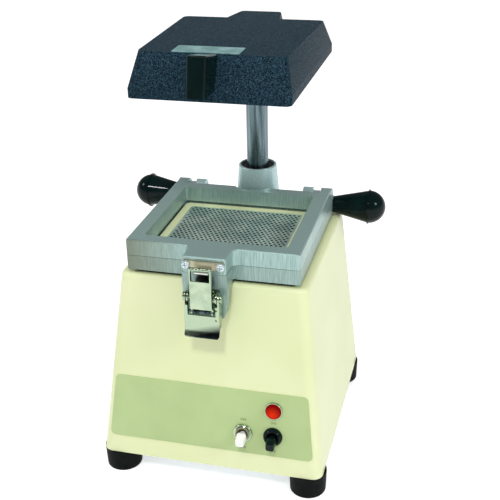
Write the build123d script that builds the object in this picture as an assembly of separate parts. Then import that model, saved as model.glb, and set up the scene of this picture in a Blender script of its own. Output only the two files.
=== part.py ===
from build123d import *
import math
import os

# A bench-top dental vacuum former.
# X runs to the right, Y to the back and Z up; the origin is on the bench, under the middle.
# All sizes are in millimetres.

# ------------------------------------------------------------------ clearances
PIN_CLEAR = 0.05          # radial, a pin or shaft in its bore
SLIDE_CLEAR = 0.05        # radial, a bush on the post
RUN_GAP = 0.3             # flat faces of bodies that move past each other
SEAT_GAP = 0.1            # a fixed piece dropped into its recess
SCREW_CLEAR = 0.2         # radial, round a screw that passes through

# ------------------------------------------------------------------ housing
FOOT_HEIGHT = 20.0
FOOT_RADIUS = 16.0
FOOT_TAPER = 0.7
FOOT_ROUND = 1.6
FOOT_INSET = 14.0         # foot centre, in from the housing's bottom edges
HOUSING_WIDTH = 195.0     # at the bottom
HOUSING_FRONT = -103.5    # at the bottom
HOUSING_BEHIND_POST = 19.6  # rear edge at the bottom, behind the post
HOUSING_HEIGHT = 163.0
TOP_SIDE_INSET = 18.0     # how far each side leans in, bottom to top
TOP_FRONT_INSET = 26.5
TOP_REAR_INSET = 4.5
HOUSING_CORNER = 9.0
HOUSING_EDGE_ROUND = 4.0
HOUSING_WALL = 3.5
BASE_PLATE_THICK = 2.5
BOSS_RADIUS = 7.0
BOSS_HEIGHT = 38.0
FOOT_SCREW_RADIUS = 2.5
FOOT_SCREW_LENGTH = 34.0
SCREW_HEAD_HEIGHT = 3.0
FOOT_RECESS_DEPTH = 6.0
VENT_LENGTH = 44.0
VENT_WIDTH = 5.0
VENT_PITCH = 12.0
VENT_COUNT = 7

# ------------------------------------------------------------------ forming platform
PLATFORM_SIDE_GAP = 0.8   # each side, inside the sheet frame's opening
PLATFORM_FRONT_GAP = 1.4
PLATFORM_REAR_GAP = 1.1
PLATFORM_HEIGHT = 14.8
PLATFORM_CORNER = 5.0
PLATFORM_RIM = 7.2        # the bare rim round the perforated plate
PLATE_THICK = 1.5
PLATE_DROP = 0.4          # plate top below the rim
PLATE_LEDGE = 4.0
PLENUM_FLOOR = 3.0
HOLE_RADIUS = 1.25
HOLE_PITCH = 6.1
INTAKE_RADIUS = 18.0
SEAL_THICK = 3.0
SEAL_WIDTH = 9.0

# ------------------------------------------------------------------ control panel
PANEL_BOTTOM = 17.0       # up the sloping front from the housing's bottom edge
PANEL_HEIGHT = 57.0
PANEL_MARGIN = 6.0        # bare housing at each side
PANEL_CORNER = 4.0
PANEL_THICK = 0.8
SWITCH_RISE = 35.3        # up the slope to the switches
VACUUM_SWITCH_X = 29.5
HEATER_SWITCH_X = 55.2
LAMP_RISE = 58.7
BUSHING_RADIUS = 6.0
BUSHING_LENGTH = 4.5      # in front of the housing
NUT_RADIUS = 8.2
NUT_THICK = 2.4
SWITCH_BODY = (15.0, 27.0, 25.0)
TOGGLE_LENGTH = 14.5
TOGGLE_NECK = 2.2
TOGGLE_SLEEVE_START = 6.0  # up the lever, where its sleeve begins
TOGGLE_SLEEVE = 3.0       # sleeve radius at its start
TOGGLE_TIP = 3.7          # sleeve radius at its end
TOGGLE_ROUND = 0.9
TOGGLE_BALL = 3.0
TOGGLE_PIN_RADIUS = 1.2   # the cross pin that the lever swings on
TOGGLE_PIN_REACH = 4.2
TOGGLE_REST = 17.0        # degrees that the lever hangs below square to the panel
LAMP_RADIUS = 6.4         # barrel
LAMP_DEPTH = 22.0
LAMP_NUT = 3.0
LENS_RADIUS = 6.8
LAMP_PROUD = 3.4
BEZEL_RADIUS = 7.8
BEZEL_PROUD = 1.6
CORD_HOLE_RADIUS = 6.5
CORD_HOLE_HEIGHT = 26.0   # above the housing's bottom edge
CORD_BORE_RADIUS = 3.8

# ------------------------------------------------------------------ post
POST_BEHIND_HINGE = 13.9
POST_RADIUS = 10.0
POST_WALL = 2.0
POST_TOP = 358.0
FLANGE_WIDTH = 50.0
FLANGE_DEPTH = 29.0
FLANGE_HEIGHT = 7.0
FLANGE_CORNER = 4.0
FLANGE_SCREW_INSET = 6.0
FLANGE_SCREW_RADIUS = 2.0
LEAD_RADIUS = 1.6
CAP_THICK = 1.6
CAP_PLUG = 8.0

# ------------------------------------------------------------------ sheet frame, both halves
FRAME_WIDTH = 146.0
FRAME_FRONT = -74.6
FRONT_RAIL = 12.2
OPENING_WIDTH = 120.6
OPENING_DEPTH = 110.8
OPENING_CORNER = 3.0
REAR_RAIL = 11.4
LOWER_THICK = 12.6
UPPER_THICK = 13.6
LOWER_OPENING_EXTRA = 2.0  # the lower half stands clear of the platform
FRAME_CORNER = 2.5
FRAME_EDGE = 0.9
HINGE_BEHIND_RAIL = 10.2
EAR_WIDTH = 9.8
KNUCKLE_WIDTH = 9.0
SPACER_LENGTH = 7.0
HINGE_PIN_RADIUS = 3.0
SPACER_RADIUS = 4.0
NOTCH_RADIUS = 20.5
NOTCH_DEPTH = 8.2
COLLAR_TOP_RADIUS = 17.6
COLLAR_BOTTOM_RADIUS = 21.1
COLLAR_HEIGHT = 40.8
COLLAR_ROUND = 0.9
BUSH_WALL = 5.6
BUSH_DROP = 1.2
GASKET_WIDTH = 4.0
GASKET_THICK = 2.0
TONGUE_FRONT = -94.7
UPPER_TONGUE_WIDTH = 35.6
LOWER_TONGUE_WIDTH = 36.6
LOWER_TONGUE_TIP = 31.6
TONGUE_DROP = 26.7        # below the lower half's underside
TONGUE_PLATE = 10.5       # thickness of the part that hangs down
TONGUE_SHOULDER = 6.0     # below the lower half's underside, where the taper begins
TONGUE_TIP_ROUND = 5.0
TONGUE_FILLET = 6.0
TONGUE_CORNER = 1.5
KNOB_BEHIND_HINGE = 11.5
KNOB_RISE = 6.8           # knob axis above the lower half's underside
KNOB_BAR_RADIUS = 8.2
KNOB_NECK = 7.5
KNOB_BALL = 15.2          # the knob's round end
KNOB_LENGTH = 48.3
KNOB_SEAM_PROUD = 1.0     # the thin ring where the mould's halves met
KNOB_SEAM_WIDTH = 1.0
STUD_RADIUS = 4.0
STUD_LENGTH = 54.0
STUD_IN_KNOB = 26.0
DETENT_RISE = 27.0        # ball centre above the lower half's underside
DETENT_RADIUS = 2.5
DETENT_SPRING_LENGTH = 4.0
DETENT_SCREW_LENGTH = 4.0
LIFT_SPARE = 12.9         # the lifted collar stays this far below the heater

# ------------------------------------------------------------------ latch
KEEPER_HALF = 17.2
KEEPER_THICK = 1.6
KEEPER_HEIGHT = 7.0
KEEPER_TOP = 2.6          # below the frame's top face
KEEPER_CORNER = 1.5
KEEPER_SCREW_X = 14.2
KEEPER_SCREW_DEPTH = 9.0
KEEPER_HEAD_RADIUS = 3.5
KEEPER_HEAD_HEIGHT = 2.4
LATCH_SCREW_RADIUS = 1.5
LIP_HALF = 5.6
LIP_RADIUS = 1.6          # the rolled edge that the claw's bar closes over
LIP_SHEET = 1.4
LIP_BELOW_BAR = 1.3       # the rolled edge hangs this far below the claw's bar
LATCH_SHEET = 1.2
EAR_HALF = 12.4           # outside of the base's ears
EAR_ROUND = 4.4           # round end of the base's ears
BASE_ABOVE = 5.0          # base plate above the pivot
BASE_BELOW = 13.5
BASE_SCREW_X = 6.0
BASE_SCREW_INSET = 3.0    # in from the base plate's ends
BASE_SCREW_DEPTH = 8.0
BASE_HEAD_RADIUS = 2.6
BASE_HEAD_HEIGHT = 1.3
PIVOT_OUT = 6.6           # lever pivot in front of the tongue
PIVOT_RISE = -4.9         # from the lower half's underside
PIVOT_RADIUS = 2.0
PIVOT_HEAD = 3.3
PIVOT_HEAD_THICK = 1.2
LEVER_HALF = 14.4
LEVER_DEPTH = 9.0
LEVER_BOTTOM = 32.5       # below the pivot
LEVER_PLATE_TOP = 14.2    # below the pivot
LEVER_STRIP = 2.9         # width of the front edges that run up beside the claw
LEVER_STRIP_TOP = 5.6     # below the pivot
LEVER_BEND = 1.0          # outside radius of the folded edges
LEVER_TAPER = 3.5         # the side walls get this much shallower towards the lip
LIP_HEIGHT = 7.0          # the lever's out-curved end
LIP_CURVE = 9.0
LIP_CORNER = 1.8
LEVER_HOLE = 0.9          # two small punched holes
LEVER_HOLE_X = 11.9
CLAW_DROP = 12.5          # claw pin below the lever pivot
CLAW_SET_BACK = 1.2       # claw pin out of the pivot's upright
CLAW_HALF = 9.0
CLAW_STANDOFF = 4.4       # claw plate in front of its pin
CLAW_PLATE_TOP = 16.1     # above the lever pivot
CLAW_BAR_RADIUS = 1.4
CLAW_BAR_SET_BACK = 2.4   # bar's middle behind the claw plate's front
CLAW_BAR_RISE = 25.8      # above the lever pivot
CLAW_NECK = 3.4           # above the lever pivot, where the side walls widen again
CLAW_PLATE_BOTTOM = 4.4   # above the claw pin
CLAW_ROUND = 0.8
CLAW_PIN_RADIUS = 1.4
CLAW_EYE = 2.4            # radius of the claw's eye round its pin
CLAW_STEM = 1.6           # front of the stem above the eye, in front of the pin
SPRING_RADIUS = 2.0
SPRING_WIRE = 0.7
SPRING_TURNS = 4

# ------------------------------------------------------------------ heater
HEATER_BELOW_POST = 28.0  # the cover's rim, below the post's top
HEATER_LIP = 7.0
HEATER_HEIGHT = 33.7
HEATER_HALF = 64.4
HEATER_FRONT = -69.6
HEATER_BEHIND_POST = 27.5
HEATER_TOP_FRONT_HALF = 58.2
HEATER_TOP_REAR_HALF = 62.6
HEATER_TOP_FRONT_INSET = 13.0
HEATER_TOP_BEFORE_POST = 7.9
HEATER_CORNER = 5.0
HEATER_WALL = 3.0
HUB_FRONT_HALF = 25.0
HUB_REAR_HALF = 18.0
HUB_BEHIND_POST = 22.9
HUB_FLARE = 5.0
HUB_CORNER = 4.0
HUB_RADIUS = 18.0
HUB_BUSH_WALL = 3.0
REFLECTOR_SIDE_GAP = 7.4  # each side, in from the cover's rim
REFLECTOR_FRONT_GAP = 11.6
REFLECTOR_BEFORE_POST = 29.9
REFLECTOR_DEPTH = 17.0
REFLECTOR_INSET = 5.0
REFLECTOR_SHEET = 1.0
REFLECTOR_CORNER = 6.0
REFLECTOR_RISE = 3.0      # lower edge above the cover's rim
BOARD_THICK = 6.0
BOARD_CORNER = 5.0
ELEMENT_RADIUS = 3.2
ELEMENT_RUNS = 6
ELEMENT_SIDE_GAP = 18.0   # ends of the straight runs, in from the reflector
ELEMENT_END_GAP = 11.0    # first and last run, in from the reflector
ELEMENT_HOLE_CLEAR = 0.8
ELEMENT_DROP = 9.0        # element centre below the reflector's roof
ELEMENT_TAIL = 18.0
SUPPORT_X = 25.0
SUPPORT_HALF = 3.0
REFLECTOR_SCREW_RADIUS = 2.0
HANDLE_X = -1.5           # the grip stands a little left of the middle
HANDLE_HALF = 7.5
HANDLE_REACH = 25.4       # grip's lower front edge, in front of the cover's rim
HANDLE_LEAN = 7.0         # the grip's front face leans back this much
HANDLE_BOTTOM = 9.5       # lower front edge, above the cover's rim
HANDLE_TOP = 6.1          # upper front edge, above the cover's top
HANDLE_TAIL = 1.5         # lower rear edge, above the cover's shoulder
HANDLE_ROUND = 2.8
HANDLE_TOP_ROUND = 1.4
HANDLE_SCREW_RADIUS = 2.0
HANDLE_SCREW_SPACING = 7.0
HANDLE_SCREW_DROP = 1.0   # the upper screw, below the middle of the cover's slope
HANDLE_SCREW_GRIP = 10.0  # how far the screws reach in front of the cover's rim
HANDLE_HEAD_HEIGHT = 1.2
HANDLE_BOSS_DEPTH = 11.9
HANDLE_BOSS_HALF = 5.5
PLATE_LEFT = -31.2
PLATE_RIGHT = 22.0
PLATE_FRONT = -55.2
PLATE_REAR = -35.6
LABEL_THICK = 0.6

# ------------------------------------------------------------------ vacuum motor
MOTOR_Y = -6.5
FAN_CASE_RADIUS = 60.0
FAN_CASE_HEIGHT = 42.0
FAN_CASE_SHEET = 1.5
INTAKE_SEAL_HEIGHT = 8.0
INTAKE_SEAL_WIDTH = 10.0
MOTOR_FRAME_RADIUS = 44.0
MOTOR_FRAME_HEIGHT = 66.0
MOTOR_FRAME_WALL = 3.0
MOTOR_FLANGE_THICK = 3.0
MOTOR_WINDOW_WIDTH = 14.0
MOTOR_WINDOW_HEIGHT = 9.0
STATOR_WALL = 12.0
STATOR_HEIGHT = 36.0
STATOR_RISE = 20.0        # above the motor's lower end
AIR_GAP = 1.0
SHAFT_RADIUS = 4.0
BEARING_RADIUS = 10.0
BEARING_WIDTH = 7.0
COMMUTATOR_RADIUS = 12.0
COMMUTATOR_LENGTH = 10.0
IMPELLER_CLEAR = 4.0
IMPELLER_SHEET = 1.2
IMPELLER_BLADES = 8
IMPELLER_HEIGHT = 16.0
STUD_CIRCLE = 66.0
MOTOR_STUD_RADIUS = 2.5

# ------------------------------------------------------------------ places worked out from the sizes
OPENING_FRONT = FRAME_FRONT + FRONT_RAIL
OPENING_REAR = OPENING_FRONT + OPENING_DEPTH
RAIL_REAR = OPENING_REAR + REAR_RAIL
HINGE_Y = RAIL_REAR + HINGE_BEHIND_RAIL
POST_Y = HINGE_Y + POST_BEHIND_HINGE
KNOB_Y = HINGE_Y + KNOB_BEHIND_HINGE
KNUCKLE_INNER = FRAME_WIDTH / 2 - EAR_WIDTH - RUN_GAP - SPACER_LENGTH - SEAT_GAP - KNUCKLE_WIDTH
PLATFORM_WIDTH = OPENING_WIDTH - PLATFORM_SIDE_GAP * 2
PLATFORM_FRONT = OPENING_FRONT + PLATFORM_FRONT_GAP
PLATFORM_REAR = OPENING_REAR - PLATFORM_REAR_GAP
HOUSING_REAR = POST_Y + HOUSING_BEHIND_POST
HOUSING_BOTTOM = FOOT_HEIGHT
HOUSING_TOP = HOUSING_BOTTOM + HOUSING_HEIGHT
FRONT_LEAN = math.degrees(math.atan2(TOP_FRONT_INSET, HOUSING_HEIGHT))
PLATFORM_TOP = HOUSING_TOP + PLATFORM_HEIGHT
FRAME_BOTTOM = HOUSING_TOP + SEAL_THICK + RUN_GAP
FRAME_SPLIT = FRAME_BOTTOM + LOWER_THICK
UPPER_BOTTOM = FRAME_SPLIT + RUN_GAP
FRAME_TOP = UPPER_BOTTOM + UPPER_THICK
HINGE_Z = UPPER_BOTTOM + UPPER_THICK / 2
EAR_RADIUS = UPPER_THICK / 2 - 0.2
LOWER_REAR = HINGE_Y + EAR_RADIUS
KNOB_Z = FRAME_BOTTOM + KNOB_RISE
COLLAR_TOP = FRAME_BOTTOM + COLLAR_HEIGHT
BUSH_RADIUS = POST_RADIUS + BUSH_WALL
BASE_TOP = HOUSING_BOTTOM + BASE_PLATE_THICK
CEILING = HOUSING_TOP - HOUSING_WALL
HEATER_BOTTOM = POST_TOP - HEATER_BELOW_POST
HEATER_TOP = HEATER_BOTTOM + HEATER_HEIGHT
LIFT = HEATER_BOTTOM - LIFT_SPARE - COLLAR_TOP
HEATER_SHOULDER = HEATER_BOTTOM + HEATER_LIP
HEATER_REAR = POST_Y + HEATER_BEHIND_POST
HEATER_TOP_FRONT = HEATER_FRONT + HEATER_TOP_FRONT_INSET
HEATER_TOP_REAR = POST_Y - HEATER_TOP_BEFORE_POST
HUB_REAR = POST_Y + HUB_BEHIND_POST
REFLECTOR_HALF = HEATER_HALF - REFLECTOR_SIDE_GAP
REFLECTOR_FRONT = HEATER_FRONT + REFLECTOR_FRONT_GAP
REFLECTOR_REAR = POST_Y - REFLECTOR_BEFORE_POST
ELEMENT_HALF = REFLECTOR_HALF - ELEMENT_SIDE_GAP
ELEMENT_PITCH = (REFLECTOR_REAR - REFLECTOR_FRONT - ELEMENT_END_GAP * 2) / (ELEMENT_RUNS - 1)
PIVOT_Y = TONGUE_FRONT - PIVOT_OUT
PIVOT_Z = FRAME_BOTTOM + PIVOT_RISE
CLAW_PIN_Y = PIVOT_Y - CLAW_SET_BACK
CLAW_PIN_Z = PIVOT_Z - CLAW_DROP
CLAW_FACE_Y = CLAW_PIN_Y - CLAW_STANDOFF
FEET = [
    (side * (HOUSING_WIDTH / 2 - FOOT_INSET), y)
    for side in (-1, 1)
    for y in (HOUSING_FRONT + FOOT_INSET, HOUSING_REAR - FOOT_INSET)
]
FRONT = Plane(
    origin=(0, HOUSING_FRONT, HOUSING_BOTTOM),
    x_dir=(1, 0, 0),
    z_dir=(0, -math.cos(math.radians(FRONT_LEAN)), math.sin(math.radians(FRONT_LEAN))),
)


# ------------------------------------------------------------------ shared shapes
def block(x0, x1, y0, y1, z0, z1):
    """A square-edged block between two corners."""
    return Pos((x0 + x1) / 2, (y0 + y1) / 2, (z0 + z1) / 2) * Box(x1 - x0, y1 - y0, z1 - z0)


def rod(x, y, z0, z1, radius):
    """An upright round rod."""
    return Pos(x, y, (z0 + z1) / 2) * Cylinder(radius, z1 - z0)


def rod_x(y, z, x0, x1, radius):
    """A round rod that lies along X."""
    return Pos((x0 + x1) / 2, y, z) * Rot(0, 90, 0) * Cylinder(radius, x1 - x0)


def rod_y(x, z, y0, y1, radius):
    """A round rod that lies along Y."""
    return Pos(x, (y0 + y1) / 2, z) * Rot(90, 0, 0) * Cylinder(radius, y1 - y0)


def outline(points, radius, z):
    """A level face through the points, with its corners rounded."""
    face = make_face(Polyline(*points, close=True))
    if radius:
        face = fillet(face.vertices(), radius)
    return Pos(0, 0, z) * face


def rectangle_points(half_width, front, rear):
    """The corners of a rectangle that is centred on X."""
    return [(-half_width, front), (half_width, front), (half_width, rear), (-half_width, rear)]


def slab(half_width, front, rear, z0, z1, radius):
    """A plate with rounded upright edges."""
    return extrude(outline(rectangle_points(half_width, front, rear), radius, z0), amount=z1 - z0)


def lofted(low_points, low_radius, z0, high_points, high_radius, z1):
    """A straight-sided body between two level outlines."""
    sections = [outline(low_points, low_radius, z0), outline(high_points, high_radius, z1)]
    return loft(sections, ruled=True)


def fused(pieces):
    """One solid made of overlapping pieces."""
    whole = pieces[0]
    for piece in pieces[1:]:
        whole = whole + piece
    return whole


def group(pieces):
    """Separate solids that share one node."""
    return Compound(children=[Part(piece.wrapped) for piece in pieces])


def on_front(x, rise, out):
    """A place on the housing's sloping front: across, up the slope and out of it."""
    return FRONT.location * Pos(x, rise, out)


# ------------------------------------------------------------------ housing and what stands on it
def housing_inset(z):
    """How far the sides, the front and the rear have leaned in at a height."""
    share = (z - HOUSING_BOTTOM) / HOUSING_HEIGHT
    return TOP_SIDE_INSET * share, TOP_FRONT_INSET * share, TOP_REAR_INSET * share


def housing_points(z, wall):
    """The housing's outline at a height, in from its outer faces by a wall."""
    side, front, rear = housing_inset(z)
    return rectangle_points(
        HOUSING_WIDTH / 2 - side - wall, HOUSING_FRONT + front + wall, HOUSING_REAR - rear - wall
    )


def make_housing():
    outside = lofted(
        housing_points(HOUSING_BOTTOM, 0), HOUSING_CORNER, HOUSING_BOTTOM,
        housing_points(HOUSING_TOP, 0), HOUSING_CORNER, HOUSING_TOP,
    )
    rim = outside.faces().sort_by(Axis.Z)[-1].edges()
    outside = fillet(rim, HOUSING_EDGE_ROUND)
    inner_corner = HOUSING_CORNER - HOUSING_WALL
    inside = lofted(
        housing_points(HOUSING_BOTTOM, HOUSING_WALL), inner_corner, HOUSING_BOTTOM,
        housing_points(CEILING, HOUSING_WALL), inner_corner, CEILING,
    )
    shell = outside - inside
    for x, y in FEET:
        boss = rod(x, y, BASE_TOP + SEAT_GAP, BASE_TOP + BOSS_HEIGHT, BOSS_RADIUS)
        shell = shell + (boss & outside)
    for x, y in FEET:
        screw_top = FOOT_RECESS_DEPTH + FOOT_SCREW_LENGTH
        shell = shell - rod(x, y, HOUSING_BOTTOM, screw_top + 1, FOOT_SCREW_RADIUS)
    shell = shell - rod(0, POST_Y, CEILING - 1, HOUSING_TOP + 1, POST_RADIUS + SEAT_GAP)
    shell = shell - rod(0, MOTOR_Y, CEILING - 1, HOUSING_TOP + 1, INTAKE_RADIUS)
    through = HOUSING_WALL * 4
    for x in (VACUUM_SWITCH_X, HEATER_SWITCH_X):
        shell = shell - on_front(x, SWITCH_RISE, 0) * Cylinder(BUSHING_RADIUS + SEAT_GAP, through)
    shell = shell - on_front(HEATER_SWITCH_X, LAMP_RISE, 0) * Cylinder(LAMP_RADIUS + SEAT_GAP, through)
    cord_z = HOUSING_BOTTOM + CORD_HOLE_HEIGHT
    shell = shell - rod_y(0, cord_z, HOUSING_REAR - through, HOUSING_REAR + 1, CORD_HOLE_RADIUS)
    return shell


def make_platform():
    half = PLATFORM_WIDTH / 2
    body = slab(half, PLATFORM_FRONT, PLATFORM_REAR, HOUSING_TOP, PLATFORM_TOP, PLATFORM_CORNER)
    body = fillet(body.faces().sort_by(Axis.Z)[-1].edges(), 1.0)
    recess_floor = PLATFORM_TOP - PLATE_DROP - PLATE_THICK
    body = body - slab(
        half - PLATFORM_RIM, PLATFORM_FRONT + PLATFORM_RIM, PLATFORM_REAR - PLATFORM_RIM,
        recess_floor, PLATFORM_TOP + 1, 2.0,
    )
    inner = PLATFORM_RIM + PLATE_LEDGE
    body = body - slab(
        half - inner, PLATFORM_FRONT + inner, PLATFORM_REAR - inner,
        HOUSING_TOP + PLENUM_FLOOR, PLATFORM_TOP, 2.0,
    )
    return body - rod(0, MOTOR_Y, HOUSING_TOP - 1, PLATFORM_TOP, INTAKE_RADIUS)


def make_vacuum_plate():
    margin = PLATFORM_RIM + SEAT_GAP
    half = PLATFORM_WIDTH / 2 - margin
    front = PLATFORM_FRONT + margin
    rear = PLATFORM_REAR - margin
    low = PLATFORM_TOP - PLATE_DROP - PLATE_THICK
    plate = slab(half, front, rear, low, low + PLATE_THICK, 1.9)
    middle = (front + rear) / 2
    row_step = HOLE_PITCH * math.sqrt(3) / 2
    usable_half = half - PLATE_LEDGE - HOLE_RADIUS
    usable_depth = (rear - front) / 2 - PLATE_LEDGE - HOLE_RADIUS
    rows = int(usable_depth / row_step)
    columns = int(usable_half / HOLE_PITCH)
    places = []
    for row in range(-rows, rows + 1):
        shift = HOLE_PITCH / 2 if row % 2 else 0.0
        for column in range(-columns, columns + 1):
            x = column * HOLE_PITCH + shift
            if abs(x) <= usable_half:
                places.append((x, middle + row * row_step))
    drills = [Pos(x, y, low) * Circle(HOLE_RADIUS) for x, y in places]
    print("vacuum plate holes:", len(drills))
    return plate - extrude(Sketch() + drills, amount=PLATE_THICK)


def make_platform_seal():
    inner = PLATFORM_WIDTH / 2 + RUN_GAP
    outer = inner + SEAL_WIDTH
    front = PLATFORM_FRONT - RUN_GAP
    rear = PLATFORM_REAR + RUN_GAP
    top = HOUSING_TOP + SEAL_THICK
    ring = slab(outer, front - SEAL_WIDTH, rear + SEAL_WIDTH, HOUSING_TOP, top, 4.0)
    return ring - slab(inner, front, rear, HOUSING_TOP, top, PLATFORM_CORNER)


def make_base_plate():
    side, front, rear = housing_inset(BASE_TOP)
    margin = HOUSING_WALL + RUN_GAP
    plate = slab(
        HOUSING_WIDTH / 2 - side - margin, HOUSING_FRONT + front + margin, HOUSING_REAR - rear - margin,
        HOUSING_BOTTOM, BASE_TOP, HOUSING_CORNER - HOUSING_WALL,
    )
    for x, y in FEET:
        plate = plate - rod(x, y, HOUSING_BOTTOM, BASE_TOP, FOOT_SCREW_RADIUS + SCREW_CLEAR)
    for number in range(VENT_COUNT):
        x = (number - (VENT_COUNT - 1) / 2) * VENT_PITCH
        slot = slab(VENT_WIDTH / 2, MOTOR_Y - VENT_LENGTH / 2, MOTOR_Y + VENT_LENGTH / 2,
                    HOUSING_BOTTOM, BASE_TOP, 2.0)
        plate = plate - Pos(x, 0, 0) * slot
    for x, y in flange_screw_places():
        plate = plate - rod(x, y, HOUSING_BOTTOM, BASE_TOP, FLANGE_SCREW_RADIUS)
    return plate


def make_feet():
    feet = []
    for x, y in FEET:
        foot = Pos(x, y, FOOT_HEIGHT / 2) * Cone(FOOT_RADIUS - FOOT_TAPER, FOOT_RADIUS, FOOT_HEIGHT)
        foot = fillet(foot.faces().sort_by(Axis.Z)[0].edges(), FOOT_ROUND)
        recess = rod(x, y, 0, FOOT_RECESS_DEPTH, FOOT_SCREW_RADIUS * 2 + 1)
        hole = rod(x, y, 0, FOOT_HEIGHT, FOOT_SCREW_RADIUS + SCREW_CLEAR)
        feet.append(foot - recess - hole)
    return group(feet)


def make_foot_screws():
    screws = []
    for x, y in FEET:
        head = rod(x, y, FOOT_RECESS_DEPTH - SCREW_HEAD_HEIGHT, FOOT_RECESS_DEPTH, FOOT_SCREW_RADIUS * 2)
        shank = rod(x, y, FOOT_RECESS_DEPTH, FOOT_RECESS_DEPTH + FOOT_SCREW_LENGTH, FOOT_SCREW_RADIUS)
        slot = block(x - 5, x + 5, y - 0.6, y + 0.6, 0, FOOT_RECESS_DEPTH - SCREW_HEAD_HEIGHT + 1)
        screws.append(head + shank - slot)
    return group(screws)


# ------------------------------------------------------------------ post
def flange_screw_places():
    """Where the post's flange is screwed to the base plate."""
    x = FLANGE_WIDTH / 2 - FLANGE_SCREW_INSET
    y = FLANGE_DEPTH / 2 - FLANGE_SCREW_INSET
    return [(sx * x, POST_Y + sy * y) for sx in (-1, 1) for sy in (-1, 1)]


def make_post():
    tube = rod(0, POST_Y, BASE_TOP, POST_TOP, POST_RADIUS)
    tube = tube - rod(0, POST_Y, BASE_TOP, POST_TOP, POST_RADIUS - POST_WALL)
    dimple_z = FRAME_BOTTOM + DETENT_RISE + LIFT
    dimple = Pos(0, POST_Y + POST_RADIUS + DETENT_RADIUS * 0.6, dimple_z) * Sphere(DETENT_RADIUS)
    return tube - dimple


def make_post_flange():
    half_x = FLANGE_WIDTH / 2
    half_y = FLANGE_DEPTH / 2
    top = BASE_TOP + FLANGE_HEIGHT
    body = slab(half_x, POST_Y - half_y, POST_Y + half_y, BASE_TOP, top, FLANGE_CORNER)
    body = body - rod(0, POST_Y, BASE_TOP, top, POST_RADIUS + SEAT_GAP)
    for x, y in flange_screw_places():
        body = body - rod(x, y, BASE_TOP, top, FLANGE_SCREW_RADIUS + SCREW_CLEAR)
    return body


def make_post_flange_screws():
    screws = []
    top = BASE_TOP + FLANGE_HEIGHT
    for x, y in flange_screw_places():
        shank = rod(x, y, HOUSING_BOTTOM, top, FLANGE_SCREW_RADIUS)
        head = rod(x, y, top, top + SCREW_HEAD_HEIGHT, FLANGE_SCREW_RADIUS * 2)
        screws.append(shank + head)
    return group(screws)


def make_post_cap():
    low = POST_TOP - CAP_PLUG
    plug = rod(0, POST_Y, low, POST_TOP, POST_RADIUS - POST_WALL - SEAT_GAP)
    disc = rod(0, POST_Y, POST_TOP, POST_TOP + CAP_THICK, POST_RADIUS)
    return plug + disc - rod(0, POST_Y, low, POST_TOP + CAP_THICK, LEAD_RADIUS * 2.75)


def make_heater_leads():
    leads = []
    for side in (-1, 1):
        x = side * LEAD_RADIUS * 1.25
        leads.append(rod(x, POST_Y, BASE_TOP, POST_TOP + CAP_THICK, LEAD_RADIUS))
    return group(leads)


# ------------------------------------------------------------------ control panel
def front_half_width(rise):
    """Half the width of the sloping front at a distance up the slope."""
    z_share = rise * math.cos(math.radians(FRONT_LEAN)) / HOUSING_HEIGHT
    return HOUSING_WIDTH / 2 - TOP_SIDE_INSET * z_share


def make_control_panel():
    low = front_half_width(PANEL_BOTTOM) - PANEL_MARGIN
    high = front_half_width(PANEL_BOTTOM + PANEL_HEIGHT) - PANEL_MARGIN
    top = PANEL_BOTTOM + PANEL_HEIGHT
    sheet = outline([(-low, PANEL_BOTTOM), (low, PANEL_BOTTOM), (high, top), (-high, top)], PANEL_CORNER, 0)
    panel = FRONT.location * extrude(sheet, amount=PANEL_THICK)
    for x in (VACUUM_SWITCH_X, HEATER_SWITCH_X):
        panel = panel - on_front(x, SWITCH_RISE, 0) * Cylinder(BUSHING_RADIUS + SEAT_GAP, 5)
    return panel - on_front(HEATER_SWITCH_X, LAMP_RISE, 0) * Cylinder(LAMP_RADIUS + SEAT_GAP, 5)


def make_lamp_lens():
    dome = on_front(HEATER_SWITCH_X, LAMP_RISE, PANEL_THICK) * Cylinder(
        LENS_RADIUS, LAMP_PROUD, align=(Align.CENTER, Align.CENTER, Align.MIN))
    return fillet(dome.faces().sort_by(Axis.Y)[0].edges(), LAMP_PROUD * 0.6)


def make_lamp_bezel():
    low = (Align.CENTER, Align.CENTER, Align.MIN)
    place = on_front(HEATER_SWITCH_X, LAMP_RISE, PANEL_THICK)
    ring = place * Cylinder(BEZEL_RADIUS, BEZEL_PROUD, align=low)
    ring = fillet(ring.faces().sort_by(Axis.Y)[0].edges(), (BEZEL_RADIUS - LENS_RADIUS) * 0.5)
    return ring - place * Cylinder(LENS_RADIUS + SEAT_GAP, BEZEL_PROUD, align=low)


def make_lamp_body():
    high = (Align.CENTER, Align.CENTER, Align.MAX)
    place = on_front(HEATER_SWITCH_X, LAMP_RISE, PANEL_THICK)
    barrel = place * Cylinder(LAMP_RADIUS, LAMP_DEPTH, align=high)
    flange = on_front(HEATER_SWITCH_X, LAMP_RISE, -HOUSING_WALL - SEAT_GAP) * Cylinder(
        BEZEL_RADIUS, LAMP_NUT, align=high)
    return barrel + flange


def switch_pivot(x):
    """Where a toggle lever swings, in the housing's front wall."""
    return on_front(x, SWITCH_RISE, 0)


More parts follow.
